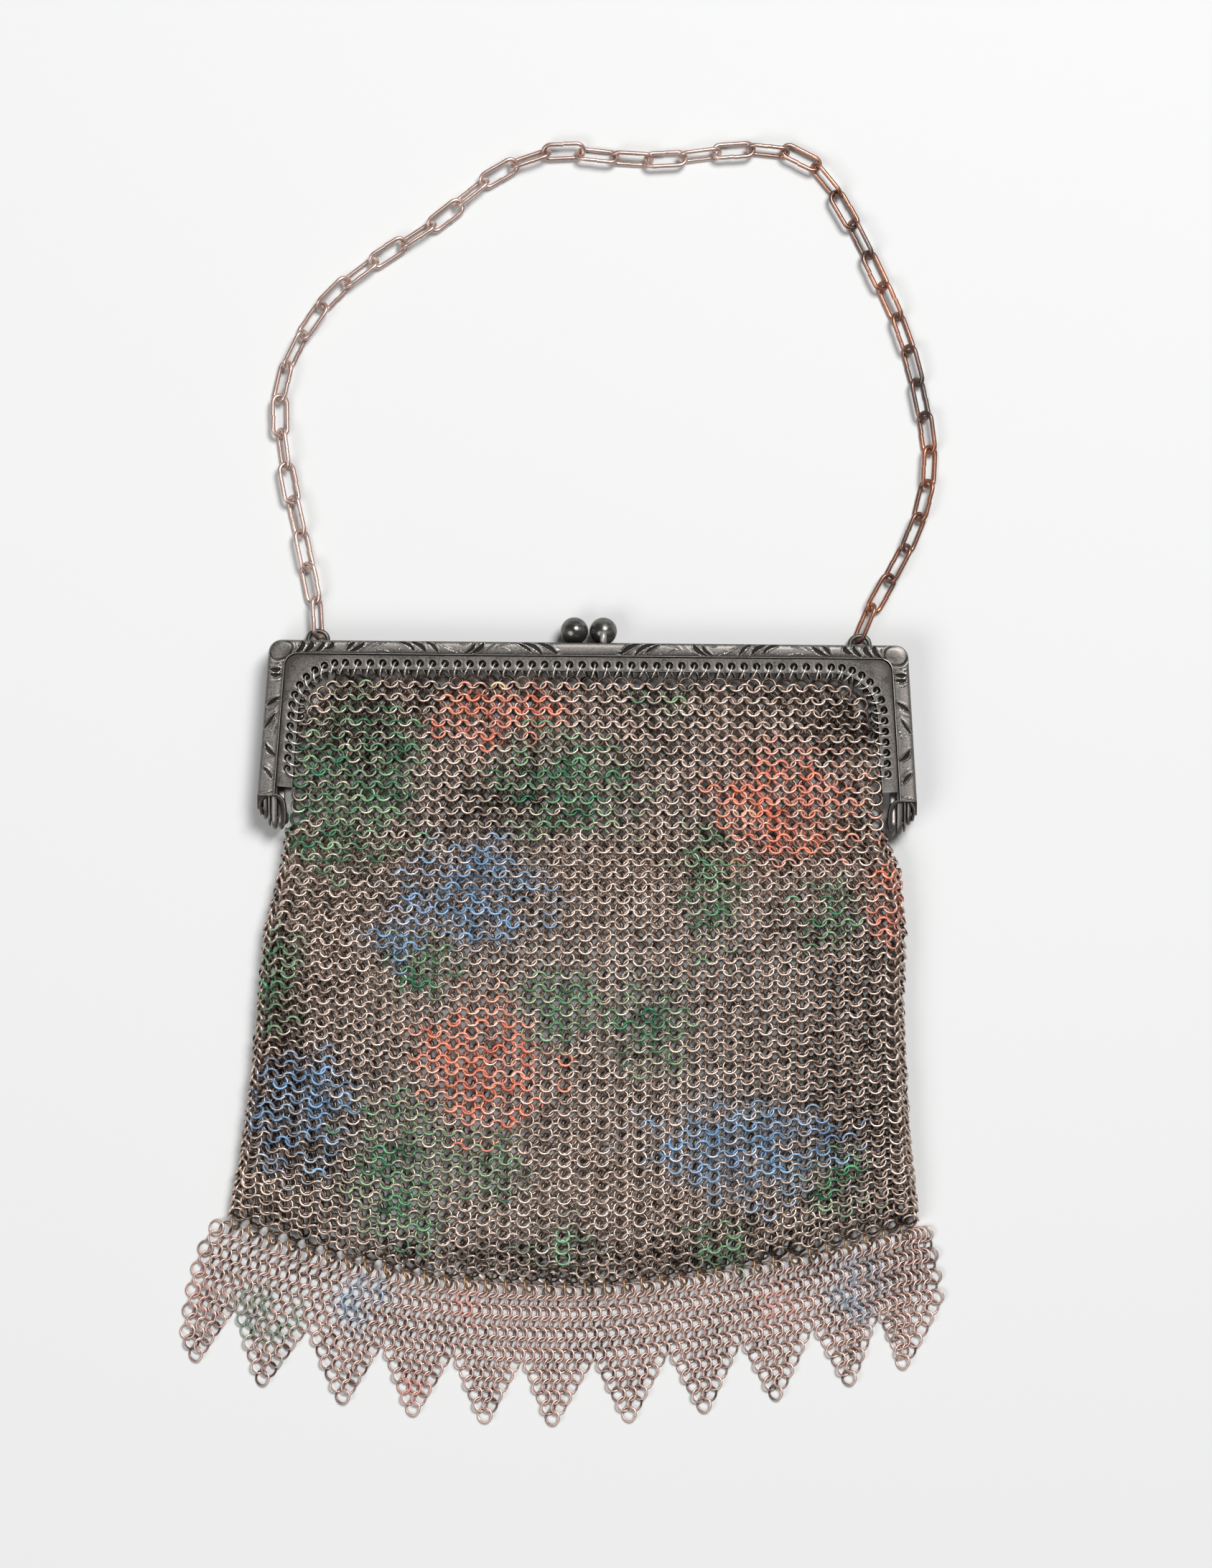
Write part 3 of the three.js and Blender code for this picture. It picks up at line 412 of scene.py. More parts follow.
for share in (0.33, 0.66, 1.0):
    flat = start[:, :2] + (seam - start[:, :2]) * share
    plain.append(np.column_stack([flat, np.full(len(flat), flange_face)]))
plain.append(plain[-1] * (1, 1, 0) + (0, 0, flange_underside))
plain.append(start * (1, 1, 0) + (0, 0, flange_underside))
shine = np.repeat([0.42, 0.42, 0.38, 0.3, 0.1, 0.1], len(edge_distances)).reshape(6, -1)
frame_body.patch(np.stack(plain), wear=shine)
tail_ends = np.array([borders[-1], plate_end])
tail = [on_flange(tail_ends, np.full(2, offset), flange_face) for offset in np.linspace(-half, half, 6)]
frame_body.patch(np.stack(tail))
cut_edge = np.array([-hole_from_edge, hole_from_edge + 2])
end_cut = [on_flange(np.full(2, plate_end), cut_edge, level) for level in (flange_face, flange_underside)]
frame_body.patch(np.stack(end_cut))
frame_body.mirror()


class Shade:
    """A socket of a finish, so that its sums and products are written as such"""

    def __init__(self, finish, socket):
        self.finish = finish
        self.socket = socket

    def __add__(self, other):
        return self.finish.maths("ADD", self, other)

    def __sub__(self, other):
        return self.finish.maths("SUBTRACT", self, other)

    def __rsub__(self, other):
        return self.finish.maths("SUBTRACT", other, self)

    def __mul__(self, other):
        return self.finish.maths("MULTIPLY", self, other)

    __radd__ = __add__
    __rmul__ = __mul__


class Finish:
    """A material whose nodes are added one by one"""

    def __init__(self, name):
        self.material = bpy.data.materials.new(name)
        self.material.use_nodes = True
        self.material.node_tree.nodes.clear()

    def node(self, kind, settings, values, out=0):
        """One node with its settings, then the values or links of its sockets"""
        made = self.material.node_tree.nodes.new(kind)
        for name, value in settings.items():
            if name == "stops":
                while len(made.color_ramp.elements) < len(value):
                    made.color_ramp.elements.new(0.5)
                for element, (position, colour) in zip(made.color_ramp.elements, value):
                    element.position = position
                    element.color = colour
            else:
                setattr(made, name, value)
        for name, value in values.items():
            if isinstance(value, Shade):
                self.material.node_tree.links.new(value.socket, made.inputs[name])
            else:
                made.inputs[name].default_value = value
        return None if out is None else Shade(self, made.outputs[out])

    def maths(self, operation, *values):
        return self.node("ShaderNodeMath", {"operation": operation}, dict(enumerate(values)))

    def mix(self, share, first, second):
        """A colour between two colours"""
        return self.node("ShaderNodeMix", {"data_type": "RGBA"}, {0: share, 6: first, 7: second}, out=2)

    def between(self, value, low, high):
        """A value spread out so that low becomes 0 and high becomes 1"""
        return self.node("ShaderNodeMapRange", {}, {"Value": value, "From Min": low, "From Max": high})

    def noise(self, scale, detail=4.0, roughness=0.55, stretch=(1, 1, 1)):
        """Uneven patches; scale is how many there are in a metre"""
        place = self.node("ShaderNodeTexCoord", {}, {}, out="Object")
        place = self.node("ShaderNodeMapping", {}, {"Vector": place, "Scale": stretch})
        values = {"Vector": place, "Scale": scale, "Detail": detail, "Roughness": roughness}
        return self.node("ShaderNodeTexNoise", {}, values)

    def own(self, name, out="Fac"):
        """A value or colour that the piece's mesh carries"""
        return self.node("ShaderNodeAttribute", {"attribute_name": name}, {}, out=out)

    def bump(self, height, depth, strength=1.0):
        values = {"Height": height, "Distance": depth, "Strength": strength}
        return self.node("ShaderNodeBump", {}, values, out="Normal")

    def surface(self, values):
        """The surface itself, from the values of its sockets"""
        shader = self.node("ShaderNodeBsdfPrincipled", {}, values)
        self.node("ShaderNodeOutputMaterial", {}, {"Surface": shader}, out=None)
        return self.material


def gunmetal(name, dark, light):
    """Plated grey metal: dark in the hollows, rubbed brighter on the raised lines"""
    finish = Finish(name)
    worn = finish.own("wear")
    blotches = finish.noise(260, 5)
    grain = finish.noise(2600, 3)
    rubbed = finish.between(worn + (blotches - 0.5) * 0.35 + (grain - 0.5) * 0.3, 0.35, 0.95)
    sunk = finish.between(worn, 0.45, 0.05)
    colour = finish.mix(rubbed, dark, light)
    colour = finish.mix(finish.between(blotches, 0.45, 0.75) * 0.5, colour, (0.085, 0.06, 0.048, 1))
    colour = finish.mix(sunk * 0.8, colour, (0.012, 0.011, 0.011, 1))
    return finish.surface({
        "Base Color": colour,
        "Metallic": 0.85,
        "Roughness": 0.42 + (grain - 0.5) * 0.25 + sunk * 0.2,
        "Normal": finish.bump(grain, 0.00003, 0.5),
    })


frame_metal = gunmetal("gunmetal", (0.055, 0.049, 0.044, 1), (0.55, 0.52, 0.49, 1))


def fitted(piece, finish, slot, *nodes):
    """Gives a piece its finish and its place on the purse"""
    piece.data.materials.append(finish)
    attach(piece, "root")
    if nodes:
        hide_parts(*nodes)


fitted(frame_body.piece("frame_front", half_level, 1), frame_metal, "frame_metal", "front_frame")
fitted(frame_body.piece("frame_back", half_level, -1), frame_metal, "frame_metal", "back_frame")

# Two small ears are soldered inside the back half's top wall for the chain. They are half loops
# of round wire in the frame's plane, lifted to the height at which a link rolled 65 degrees rests.
chain_ear_spacing = 126
chain_ear_wire = 1.1
chain_ear_width = 5.7
chain_ear_roll = 65
link_length = 10.5
link_width = 4.6
link_wire = 1.05
link_play = 0.45
clearance = 0.3
ear_apex = clearance + link_wire + link_play + chain_ear_wire / 2


def rest_height(roll):
    """Height of the middle of a link that lies rolled about its own length"""
    return (link_width - link_wire) / 2 * abs(math.sin(math.radians(roll))) + link_wire / 2


def wire(path, radius, sides, closed=False, flat=(0, 0, 1)):
    """Rows of points round a bent wire"""
    ahead = np.roll(path, -1, 0) - np.roll(path, 1, 0)
    if not closed:
        ahead[0] = path[1] - path[0]
        ahead[-1] = path[-1] - path[-2]
    ahead /= np.linalg.norm(ahead, axis=1)[:, None]
    over = np.array(flat) - ahead * (ahead @ np.array(flat))[:, None]
    over /= np.linalg.norm(over, axis=1)[:, None]
    across = np.cross(over, ahead)
    angle = 2 * np.pi * np.arange(sides) / sides
    rows = path[:, None] + radius * (
        np.cos(angle)[None, :, None] * across[:, None] + np.sin(angle)[None, :, None] * over[:, None]
    )
    return np.concatenate([rows, rows[:1]]) if closed else rows


ears = Metalwork()
reach = chain_ear_width / 2 - chain_ear_wire / 2
turn = np.linspace(0, np.pi, 22)
for hand in (-1, 1):
    arch = np.column_stack([reach * np.cos(turn), ear_apex * np.sin(turn) ** 0.8, np.zeros(22)])
    legs_in = np.array([[reach, -0.9, 0], [reach, -0.4, 0]])
    path = np.concatenate([legs_in, arch, legs_in[::-1] * (-1, 1, 1)])
    path += (hand * chain_ear_spacing / 2, 0, rest_height(chain_ear_roll))
    rows = wire(path, chain_ear_wire / 2, 12)
    ears.patch(rows, loop=True, wear=np.full(rows.shape[:2], 0.45))
fitted(ears.piece("chain_ears"), frame_metal, "frame_metal")

# A riveted hinge joins the halves at each lower end: plate ears that lie side by side on a
# headed pin, two of the front half and two of the back half.
hinge_drop = 41.2
ear_radius = 2.7
ear_thickness = 1.2
ear_from_wall = 2.3
rivet_radius = 0.8
head_radius = 1.4
head_thickness = 0.6
wall_line = inset(wall_thickness, wall_thickness, corner_radius)
wall_inner_x = wall_line[1] + frame_depth * math.tan(flare)
outer_ear_x = wall_inner_x - ear_from_wall
inner_ear_x = outer_ear_x - ear_thickness - clearance
stack_end_x = inner_ear_x - ear_thickness - clearance - head_thickness


def hinge_ear(body, outer_face, thickness=ear_thickness, drop=hinge_drop, radius=ear_radius):
    """A plate from under the flange round the rivet, with its edges rounded"""
    turn = np.radians(np.linspace(100, 290, 26))
    nose = np.column_stack([-drop + radius * np.cos(turn), radius * np.sin(turn)])
    loop = np.concatenate([
        [(-flange_end + 6, 3.75), (-flange_end + 3, 3.75), (-flange_end, 3.75), (-flange_end - 2, 3.6)],
        nose, [(-flange_end, wall_foot), (-flange_end + 6, wall_foot)],
    ])
    middle = loop.mean(0)
    rows = []
    for share, shrink in [(0, 0.22), (0.05, 0.08), (0.17, 0), (0.83, 0), (0.95, 0.08), (1, 0.22)]:
        depth = share * thickness
        inward = middle - loop
        inward /= np.linalg.norm(inward, axis=1)[:, None]
        shape = loop + inward * shrink
        to_end = np.clip((-drop - radius + 1.1 - shape[:, 0]) / 1.1, 0, 1)
        narrowed = thickness / 2 + (depth - thickness / 2) * np.sqrt(1 - to_end ** 2 * 0.96)
        rows.append(np.column_stack([outer_face - narrowed, shape]))
    body.patch(np.stack(rows), loop=True, wear=np.full((6, len(loop)), 0.55))
    body.cap(rows[0])
    body.cap(rows[-1])


for name, outer_face, turned in [
    ("hinge_ears_front", outer_ear_x, 1), ("hinge_ears_back", inner_ear_x, -1),
]:
    plates = Metalwork()
    hinge_ear(plates, outer_face)
    if turned > 0:
        hinge_ear(plates, wall_inner_x - 0.25, 0.9, 38.6, 3.0)
        hinge_ear(plates, wall_inner_x - 1.45, 0.45, 40.6, 2.6)
    plates.mirror()
    fitted(plates.piece(name, half_level, turned), frame_metal, "frame_metal")

# At its lower end the channel of the front half is lapped round into the innermost plate, so that
# the edge of the sheet shows as an arch over the ears.
lips = Metalwork()
bend_points = np.array([
    (70.2, -42.8), (70.1, -40.5), (70.15, -38.6), (70.6, -37.0), (71.6, -36.1),
    (73.0, -35.8), (74.4, -36.1), (75.3, -37.0), (75.7, -38.4), (75.2, -40.6),
])
way = np.linspace(0, len(bend_points) - 1, 46)
bend_numbers = np.arange(len(bend_points))
curve = np.column_stack([np.interp(way, bend_numbers, bend_points[:, i]) for i in (0, 1)])
curve[2:-2] = (curve[:-4] + curve[1:-3] + curve[2:-2] + curve[3:-1] + curve[4:]) / 5
ahead = np.gradient(curve, axis=0)
outside = np.column_stack([-ahead[:, 1], ahead[:, 0]]) / np.linalg.norm(ahead, axis=1)[:, None]
thick = np.interp(way, [0, 0.4, 3, 6, 9], [0.25, 0.5, 0.5, 0.32, 0.3])
# Across the sheet from its middle, level over the half's foot, and how bright it is rubbed
lip_section = [
    (1, 3.5, 0.05), (1, 4.05, 0.3), (0.75, 4.3, 0.5), (0, 4.36, 0.1),
    (-0.75, 4.3, 0.3), (-1, 4.05, 0.1), (-1, 0.2, 0.0), (1, 0.2, 0.0),
]
lip_rows = []
for across, level, shine in lip_section:
    flat = curve + outside * (thick * across)[:, None]
    lip_rows.append(np.column_stack([flat, np.full(len(flat), level), np.full(len(flat), shine)]))
lip_rows = np.stack(lip_rows, axis=1)
lips.patch(lip_rows[..., :3], loop=True, wear=lip_rows[..., 3])
lips.cap(lip_rows[0, :, :3])
lips.cap(lip_rows[-1, :, :3])
lips.mirror()
fitted(lips.piece("channel_lips", half_level, 1), frame_metal, "frame_metal")

for hand, name in [(1, "right"), (-1, "left")]:
    profile = np.array([
        (0, stack_end_x - 0.18), (0.7, stack_end_x - 0.12), (1.15, stack_end_x + 0.06),
        (head_radius, stack_end_x + 0.3), (head_radius, stack_end_x + 0.55),
        (rivet_radius, stack_end_x + head_thickness), (rivet_radius, outer_ear_x + clearance),
        (head_radius, outer_ear_x + clearance + 0.05), (head_radius, outer_ear_x + clearance + 0.3),
        (1.15, outer_ear_x + clearance + 0.54), (0.7, outer_ear_x + clearance + 0.66),
        (0, outer_ear_x + clearance + 0.7),
    ])
    around = 2 * np.pi * np.arange(20) / 20
    rows = []
    for r, x in profile:
        y = -hinge_drop + r * np.cos(around)
        rows.append(np.column_stack([np.full(20, hand * x), y, half_level + r * np.sin(around)]))
    rows = np.stack(rows)
    rivet = Metalwork()
    rivet.patch(rows, loop=True, wear=np.full(rows.shape[:2], 0.6))
    fitted(rivet.piece(f"hinge_pin_{name}"), frame_metal, "frame_metal", f"hinge_rivet_{name}")

# The kiss clasp is two hollow balls on short stems that are riveted into the top walls. They
# are dark and polished, and snap past each other.
ball_radius = 3.2
ball_rise = 2.8
ball_offset = (2 * ball_radius + clearance) / 2
stem_radius = 0.8

ball_finish = Finish("clasp_metal")
cloudy = ball_finish.noise(260, 4, stretch=(1, 2, 1))
specks = ball_finish.noise(2400, 3)
on_stem = ball_finish.between(ball_finish.own("wear"), 0.6, 0.9)
clouds = ball_finish.between(cloudy + (specks - 0.5) * 0.3, 0.42, 0.68)
ball_colour = ball_finish.mix(clouds, (0.085, 0.083, 0.076, 1), (0.21, 0.2, 0.185, 1))
clasp_metal = ball_finish.surface({
    "Base Color": ball_finish.mix(on_stem, ball_colour, (0.4, 0.38, 0.35, 1)),
    "Metallic": 0.8,
    "Roughness": 0.22 + ball_finish.between(cloudy, 0.45, 0.7) * 0.22 + on_stem * 0.2,
    "Normal": ball_finish.bump(specks, 0.00003, 0.3),
})
for name, hand, turned in [("front", 1, 1), ("back", -1, -1)]:
    clasp = Metalwork()
    # A fine seam runs round each ball where its two halves are joined.
    tilt = np.linspace(0, np.pi, 33)
    around = 2 * np.pi * np.arange(48) / 48
    radius = ball_radius * (1 - 0.012 * np.exp(-((tilt - np.pi / 2) / 0.03) ** 2))
    rows = []
    for r, t in zip(radius, tilt):
        breadth = r * math.sin(t)
        level = np.full(48, r * math.cos(t))
        rows.append(np.column_stack([breadth * np.cos(around), breadth * np.sin(around), level]))
    clasp.patch(np.stack(rows), loop=True)
    path = np.array([
        (0, -0.7, 2.7), (0, -1.0, 3.05), (0, -1.5, 3.2), (0, -2.2, 3.1), (0, -2.8, 2.85), (0, -3.3, 2.6),
    ])
    stem = wire(path, stem_radius, 20, flat=(1, 0, 0))
    clasp.patch(stem, loop=True, wear=np.full(stem.shape[:2], 1.0))
    ball_middle = (hand * ball_offset, ball_rise, half_level)
    clasp.points = [points * (1, 1, turned) + ball_middle for points in clasp.points]
    fitted(clasp.piece(f"clasp_{name}"), clasp_metal, "ball_metal", f"{name}_clasp_ball")

# The chain is long oval links of round wire, bent up and butted in the middle of one side. They
# are not soldered. Each hangs in the next a quarter turn over.
link_count = 41

middles = []
rolls = []
for k in range(link_count):
    low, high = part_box(f"chain_link_{k + 1:02d}")
    middles.append([(low[i] + high[i]) / 2 for i in range(3)])
    # A link's height shows how far it is rolled, and each rolls the other way from the last.
    stand = min(((high[2] - low[2]) * 1000 - link_wire) / (link_width - link_wire), 1)
    rolls.append(math.asin(stand) * (-1 if k % 2 else 1))
middles = (np.array(middles) - (frame_middle, top_edge, 0)) * 1000
ear_points = np.array([[-chain_ear_spacing / 2, ear_apex, 0], [chain_ear_spacing / 2, ear_apex, 0]])
chain = Metalwork()
bend = (link_width - link_wire) / 2
straight = link_length / 2 - link_wire / 2 - bend
turn = np.linspace(-np.pi / 2, np.pi / 2, 13)
right_bend = np.column_stack([straight + bend * np.cos(turn), bend * np.sin(turn)])
left_bend = np.column_stack([-straight - bend * np.cos(turn), -bend * np.sin(turn)])
side_run = np.linspace(0.03, straight, 5)[:-1]
oval = np.concatenate([
    np.column_stack([side_run, np.full(4, -bend)]), right_bend,
    np.column_stack([np.linspace(straight, -straight, 7)[1:-1], np.full(5, bend)]), left_bend,
    np.column_stack([-side_run[::-1], np.full(4, -bend)]),
])
oval = np.column_stack([oval, np.zeros(len(oval))])
# The cut ends of the wire don't meet quite square.
oval[:3, 1] -= np.array([0.09, 0.05, 0.02])
oval[-3:, 1] += np.array([0.02, 0.05, 0.09])
for k in range(link_count):
    roll = rolls[k]
    # An end link points at the ear that it hangs in, the others along their neighbours.
    if k == 0:
        before, after = ear_points[0], middles[0]
    elif k == link_count - 1:
        before, after = middles[k], ear_points[1]
    else:
        before, after = middles[k - 1], middles[k + 1]
    ahead = (after - before) * (1, 1, 0)
    ahead /= np.linalg.norm(ahead)
    side = np.array([-ahead[1], ahead[0], 0])
    broad = side * math.cos(roll) + np.array([0, 0, 1]) * math.sin(roll)
    path = middles[k] + oval[:, :1] * ahead + oval[:, 1:2] * broad * (1 if k % 3 else -1)
    rows = wire(path, link_wire / 2, 10, flat=np.cross(ahead, broad))
    chain.patch(rows, loop=True, wear=np.full(rows.shape[:2], 0.5))
    chain.cap(rows[0])
    chain.cap(rows[-1])

chain_finish = Finish("chain_pewter")
patches = chain_finish.noise(60, 3)
specks = chain_finish.noise(1500, 4)
where = chain_finish.node("ShaderNodeTexCoord", {}, {}, out="Object")
copper = chain_finish.between(chain_finish.node("ShaderNodeSeparateXYZ", {}, {"Vector": where}), 0.03, 0.06)
uneven = chain_finish.between(patches, 0.35, 0.65)
pewter = chain_finish.mix(uneven, (0.5, 0.35, 0.3, 1), (0.75, 0.58, 0.52, 1))
coppery = chain_finish.mix(uneven, (0.44, 0.2, 0.13, 1), (0.14, 0.11, 0.1, 1))
pits = chain_finish.between(specks, 0.55, 0.75) * 0.6
chain_metal = chain_finish.surface({
    "Base Color": chain_finish.mix(pits, chain_finish.mix(copper, pewter, coppery), (0.04, 0.03, 0.028, 1)),
    "Metallic": 0.9,
    "Roughness": 0.36 + (specks - 0.5) * 0.3,
    "Normal": chain_finish.bump(specks, 0.00004, 0.4),
})
link_nodes = [f"chain_link_{k + 1:02d}" for k in range(link_count)]
fitted(chain.piece("chain"), chain_metal, "chain_metal", *link_nodes)

# The bag is a tube of ring mesh, each ring of soft wire through four others. Its rows run round
# the bag and lean to and fro, and it is closed at the sides and hangs from the flange.
ring_radius = 1.62
ring_wire = 0.3
mesh_tilt = math.radians(24)
mesh_wall = 1.98
around_count = 72
flat_columns = 17
mesh_inset = 1.6
row_count = 96
row_pitch = 1.4526
first_row = 9.4
bag_side_depth = 134
bag_sag = 14.5
bag_spread = (82.7, 78.4)
sag_roundness = (2.3, 1.5)
roll_height = 0.7
mouth_lift = 0.807
mouth_front = 10.193
# The bag's section at shares of its depth: how far each side stands out from the waist at the
# hinges, how high the front stands, how far the mouth lifts it and how strongly it rolls
bag_downs = np.array([0, 0.13, 0.22, 0.305, 0.34, 0.39, 0.5, 0.63, 0.755, 0.88, 0.955, 0.985, 1])
bag_left = np.array([0.5, 0.38, 0.25, 0, 0.14, 0.2, 0.46, 0.55, 0.65, 0.8, 0.93, 0.98, 1])
bag_right = np.array([0.7, 0.55, 0.35, 0, 0.2, 0.46, 0.61, 0.58, 0.66, 0.79, 0.93, 0.98, 1])
bag_front = np.array([1, 1, 1, 0.99, 0.985, 0.98, 0.97, 0.955, 0.93, 0.84, 0.7, 0.55, 0.38])
bag_lift = np.array([1, 0.5, 0, 0, 0, 0, 0, 0, 0, 0, 0, 0.02, 0.04])
bag_roll = np.array([0, 0, 0, 0.2, 0.5, 0.8, 1, 1, 1, 0.8, 0.3, 0, 0])
# Lengthwise rolls of the front: place and half breadth as shares of the bag's half width, height
bag_folds = [
    (-0.88, 0.07, 1.0), (-0.62, 0.16, -0.7), (-0.2, 0.2, 0.5), (0.28, 0.18, -0.6), (0.6, 0.14, 0.4),
    (0.88, 0.07, 1.0),
]
mouth_line = inset(
    flange_inset_top + clearance, flange_inset_side + clearance, flange_corner_radius - clearance,
)
waist = mouth_line[1] + hinge_drop * math.tan(flare)


def sag_at(across):
    """How much lower than at its sides the bag's foot hangs, at a share of its half width"""
    roundness = np.where(across < 0, sag_roundness[0], sag_roundness[1])
    return bag_sag * (1 - np.abs(across) ** roundness)


def half_width(across, down):
    """Reach of the bag's side at a share of its depth, on the side that across is on"""
    left = waist + (bag_spread[0] - waist) * np.interp(down, bag_downs, bag_left)
    right = waist + (bag_spread[1] - waist) * np.interp(down, bag_downs, bag_right)
    return np.where(across < 0, left, right)


def bag_loop(down):
    """Middle of the mesh round the bag at a share of its depth, from the middle of the front to
    the right, round the back, and so to the middle again"""
    low = mouth_lift * np.interp(down, bag_downs, bag_lift) + mesh_wall / 2
    high = max(mouth_front * np.interp(down, bag_downs, bag_front) - mesh_wall / 2, low + 0.4)
    bend = (high - low) / 2
    roll = roll_height * np.interp(down, bag_downs, bag_roll)

    def flat(across, level, folded):
        reach = half_width(across, down) - mesh_wall / 2 - bend
        rise = sum(height * np.exp(-((across - at) / breadth) ** 2) for at, breadth, height in bag_folds)
        rise = rise * roll * np.clip((1 - np.abs(across)) / 0.06, 0, 1)
        y = -bag_side_depth * down - sag_at(across) * down ** 3
        return np.column_stack([across * reach, y, level + (rise if folded else 0 * across)])

    def side(hand, turn):
        reach = half_width(np.array(float(hand)), down) - mesh_wall / 2 - bend
        x = hand * (reach + bend * np.sin(turn))
        y = np.full_like(turn, -bag_side_depth * down)
        return np.column_stack([x, y, low + bend + bend * np.cos(turn)])

    turn = np.linspace(0, np.pi, 14)[1:-1]
    return np.concatenate([
        flat(np.linspace(0, 1, 70), high, True), side(1, turn),
        flat(np.linspace(1, -1, 90), low, False), side(-1, turn[::-1]),
        flat(np.linspace(-1, 0, 70), high, True),
    ])


def on_bag(down, shares):
    """Points at shares of the way round the bag. The folds at the sides are at a quarter and at
    three quarters of it."""
    loop = bag_loop(down)
    steps = np.linalg.norm(np.diff(loop, axis=0), axis=1)
    way = np.concatenate([[0], np.cumsum(steps)])
    right_fold = way[np.argmax(loop[:, 0])]
    left_fold = way[np.argmin(loop[:, 0])]
    far = np.interp(shares, [0, 0.25, 0.75, 1], [0, right_fold, left_fold, way[-1]])
    return np.stack([np.interp(far, way, loop[:, i]) for i in range(3)], -1)


def unit(vectors):
    return vectors / np.linalg.norm(vectors, axis=-1, keepdims=True)


row_ys = first_row + row_pitch * np.arange(row_count)
table_downs = np.linspace(0, 1, 400)
row_downs = np.interp(row_ys, bag_side_depth * table_downs + bag_sag * table_downs ** 3, table_downs)
bag_rings = {"middle": [], "across": [], "down": [], "out": [], "row": []}
mouth_foot = hinge_drop + ear_radius + clearance
for row, down in enumerate(row_downs):
    shares = (np.arange(around_count) + 0.5 * (row % 2)) / around_count
    at = on_bag(down, shares)
    beside = on_bag(down, (shares + 0.002) % 1) - on_bag(down, (shares - 0.002) % 1)
    below = on_bag(min(down + 0.01, 1), shares) - on_bag(down - 0.01, shares)
    if row_ys[row] < mouth_foot:
        # Above the hinges the mesh is two flat sheets, held out to the flange.
        limit = mouth_line[1] + row_ys[row] * math.tan(flare) - mesh_inset
        column = np.where(shares > 0.5, shares - 1, shares) * around_count
        front = np.abs(column) <= around_count / 4
        column = np.where(front, column, around_count / 2 - (column % around_count))
        x = column * limit / flat_columns
        levels = np.interp(down, bag_downs, bag_lift)
        high = mouth_front * np.interp(down, bag_downs, bag_front) - mesh_wall / 2
        z = np.where(front, high, mouth_lift * levels + mesh_wall / 2)
        at = np.column_stack([x, np.full_like(x, -row_ys[row]), z])
        beside = np.where(front[:, None], (1.0, 0, 0), (-1.0, 0, 0))
        below = np.broadcast_to((0, -1.0, 0), at.shape)
        top, side_x, radius, centre_x, centre_y = mouth_line
        edge = np.full_like(x, limit + 0.01)
        if -row_ys[row] > centre_y:
            rise = -row_ys[row] - centre_y
            edge[:] = centre_x + math.sqrt(max((radius - mesh_inset) ** 2 - rise ** 2, 0)) + 0.01
        keep = np.abs(x) <= edge
        at, beside, below = at[keep], beside[keep], below[keep]
    across = unit(beside)
    below = unit(below - across * (below * across).sum(-1, keepdims=True))
    bag_rings["middle"].append(at)
    bag_rings["across"].append(across)
    bag_rings["down"].append(below)
    bag_rings["out"].append(np.cross(below, across))
    bag_rings["row"].append(np.full(len(at), row))
bag_rings = {name: np.concatenate(values) for name, values in bag_rings.items()}

# The rings were printed with blurred flowers after the mesh was made, so the paint is on the
# arcs that show. Colour, place, half breadth and half height in millimetres.
paint_patches = [
    ("coral", -20.7, -17.5, 15.8, 8.3), ("coral", 45.4, -36.6, 16.7, 13.8),
    ("coral", 69.7, -59.2, 5.0, 11.7), ("coral", -24.1, -97.2, 15.0, 17.2),
    ("coral", -28.5, -154.3, 5.0, 5.0), ("coral", 44.8, -154.4, 5.0, 5.0),
    ("coral", -89.4, -149.9, 2.5, 6.7), ("coral", -39.2, -172.7, 4.2, 4.2),
    ("green", -56.7, -33.7, 17.3, 22.8), ("green", -46.4, -26.1, 8.7, 8.7),
    ("green", -6.4, -33.2, 18.5, 13.0), ("green", 17.6, -13.0, 6.5, 4.3),
    ("green", 28.9, -56.2, 7.5, 13.0), ("green", 55.6, -61.8, 7.5, 7.5),
    ("green", -70.9, -79.7, 5.5, 13.0), ("green", -37.6, -74.4, 9.8, 7.5),
    ("green", -5.9, -84.1, 10.8, 9.8), ("green", 15.0, -88.9, 9.8, 10.8),
    ("green", -42.2, -122.7, 13.0, 19.5), ("green", -20.5, -120.9, 7.5, 8.7),
    ("green", -5.3, -140.7, 9.8, 6.5), ("green", 59.5, -125.1, 7.5, 9.8),
    ("green", 31.3, -140.4, 9.8, 6.5), ("green", -73.5, -156.4, 8.7, 8.7),
    ("blue", -26.1, -57.6, 18.0, 13.5), ("blue", -44.3, -69.4, 6.0, 6.0),
    ("blue", -66.5, -109.6, 12.8, 13.5), ("blue", -60.7, -102.9, 7.5, 7.5),
    ("blue", 38.6, -116.1, 23.2, 12.8), ("blue", -51.9, -152.8, 6.8, 6.0),
    ("blue", 63.1, -150.1, 7.5, 6.8),
]
# Painted shade, where the mesh is made darker: place, half breadth, half height and how much
painted_shade_patches = [
    (-53.0, -21.0, 14.0, 16.0, 0.9), (-65.5, -114.0, 14.0, 26.0, 0.7), (-19.3, -37.4, 14.0, 6.0, 0.9),
    (-70.9, -78.0, 6.0, 25.0, 0.7), (-1.5, -143.0, 75.0, 5.0, 0.8), (66.0, -95.0, 16.0, 45.0, 0.8),
    (62.5, -17.8, 14.0, 8.0, 0.7), (23.4, -49.8, 10.0, 12.0, 0.4), (0.0, -9.0, 75.0, 3.5, 0.7),
]
paint_colours = {"coral": (0.82, 0.2, 0.11), "green": (0.018, 0.12, 0.058), "blue": (0.13, 0.24, 0.4)}
paint_pales = {"coral": (0.85, 0.5, 0.42), "green": (0.42, 0.6, 0.36), "blue": (0.36, 0.5, 0.62)}


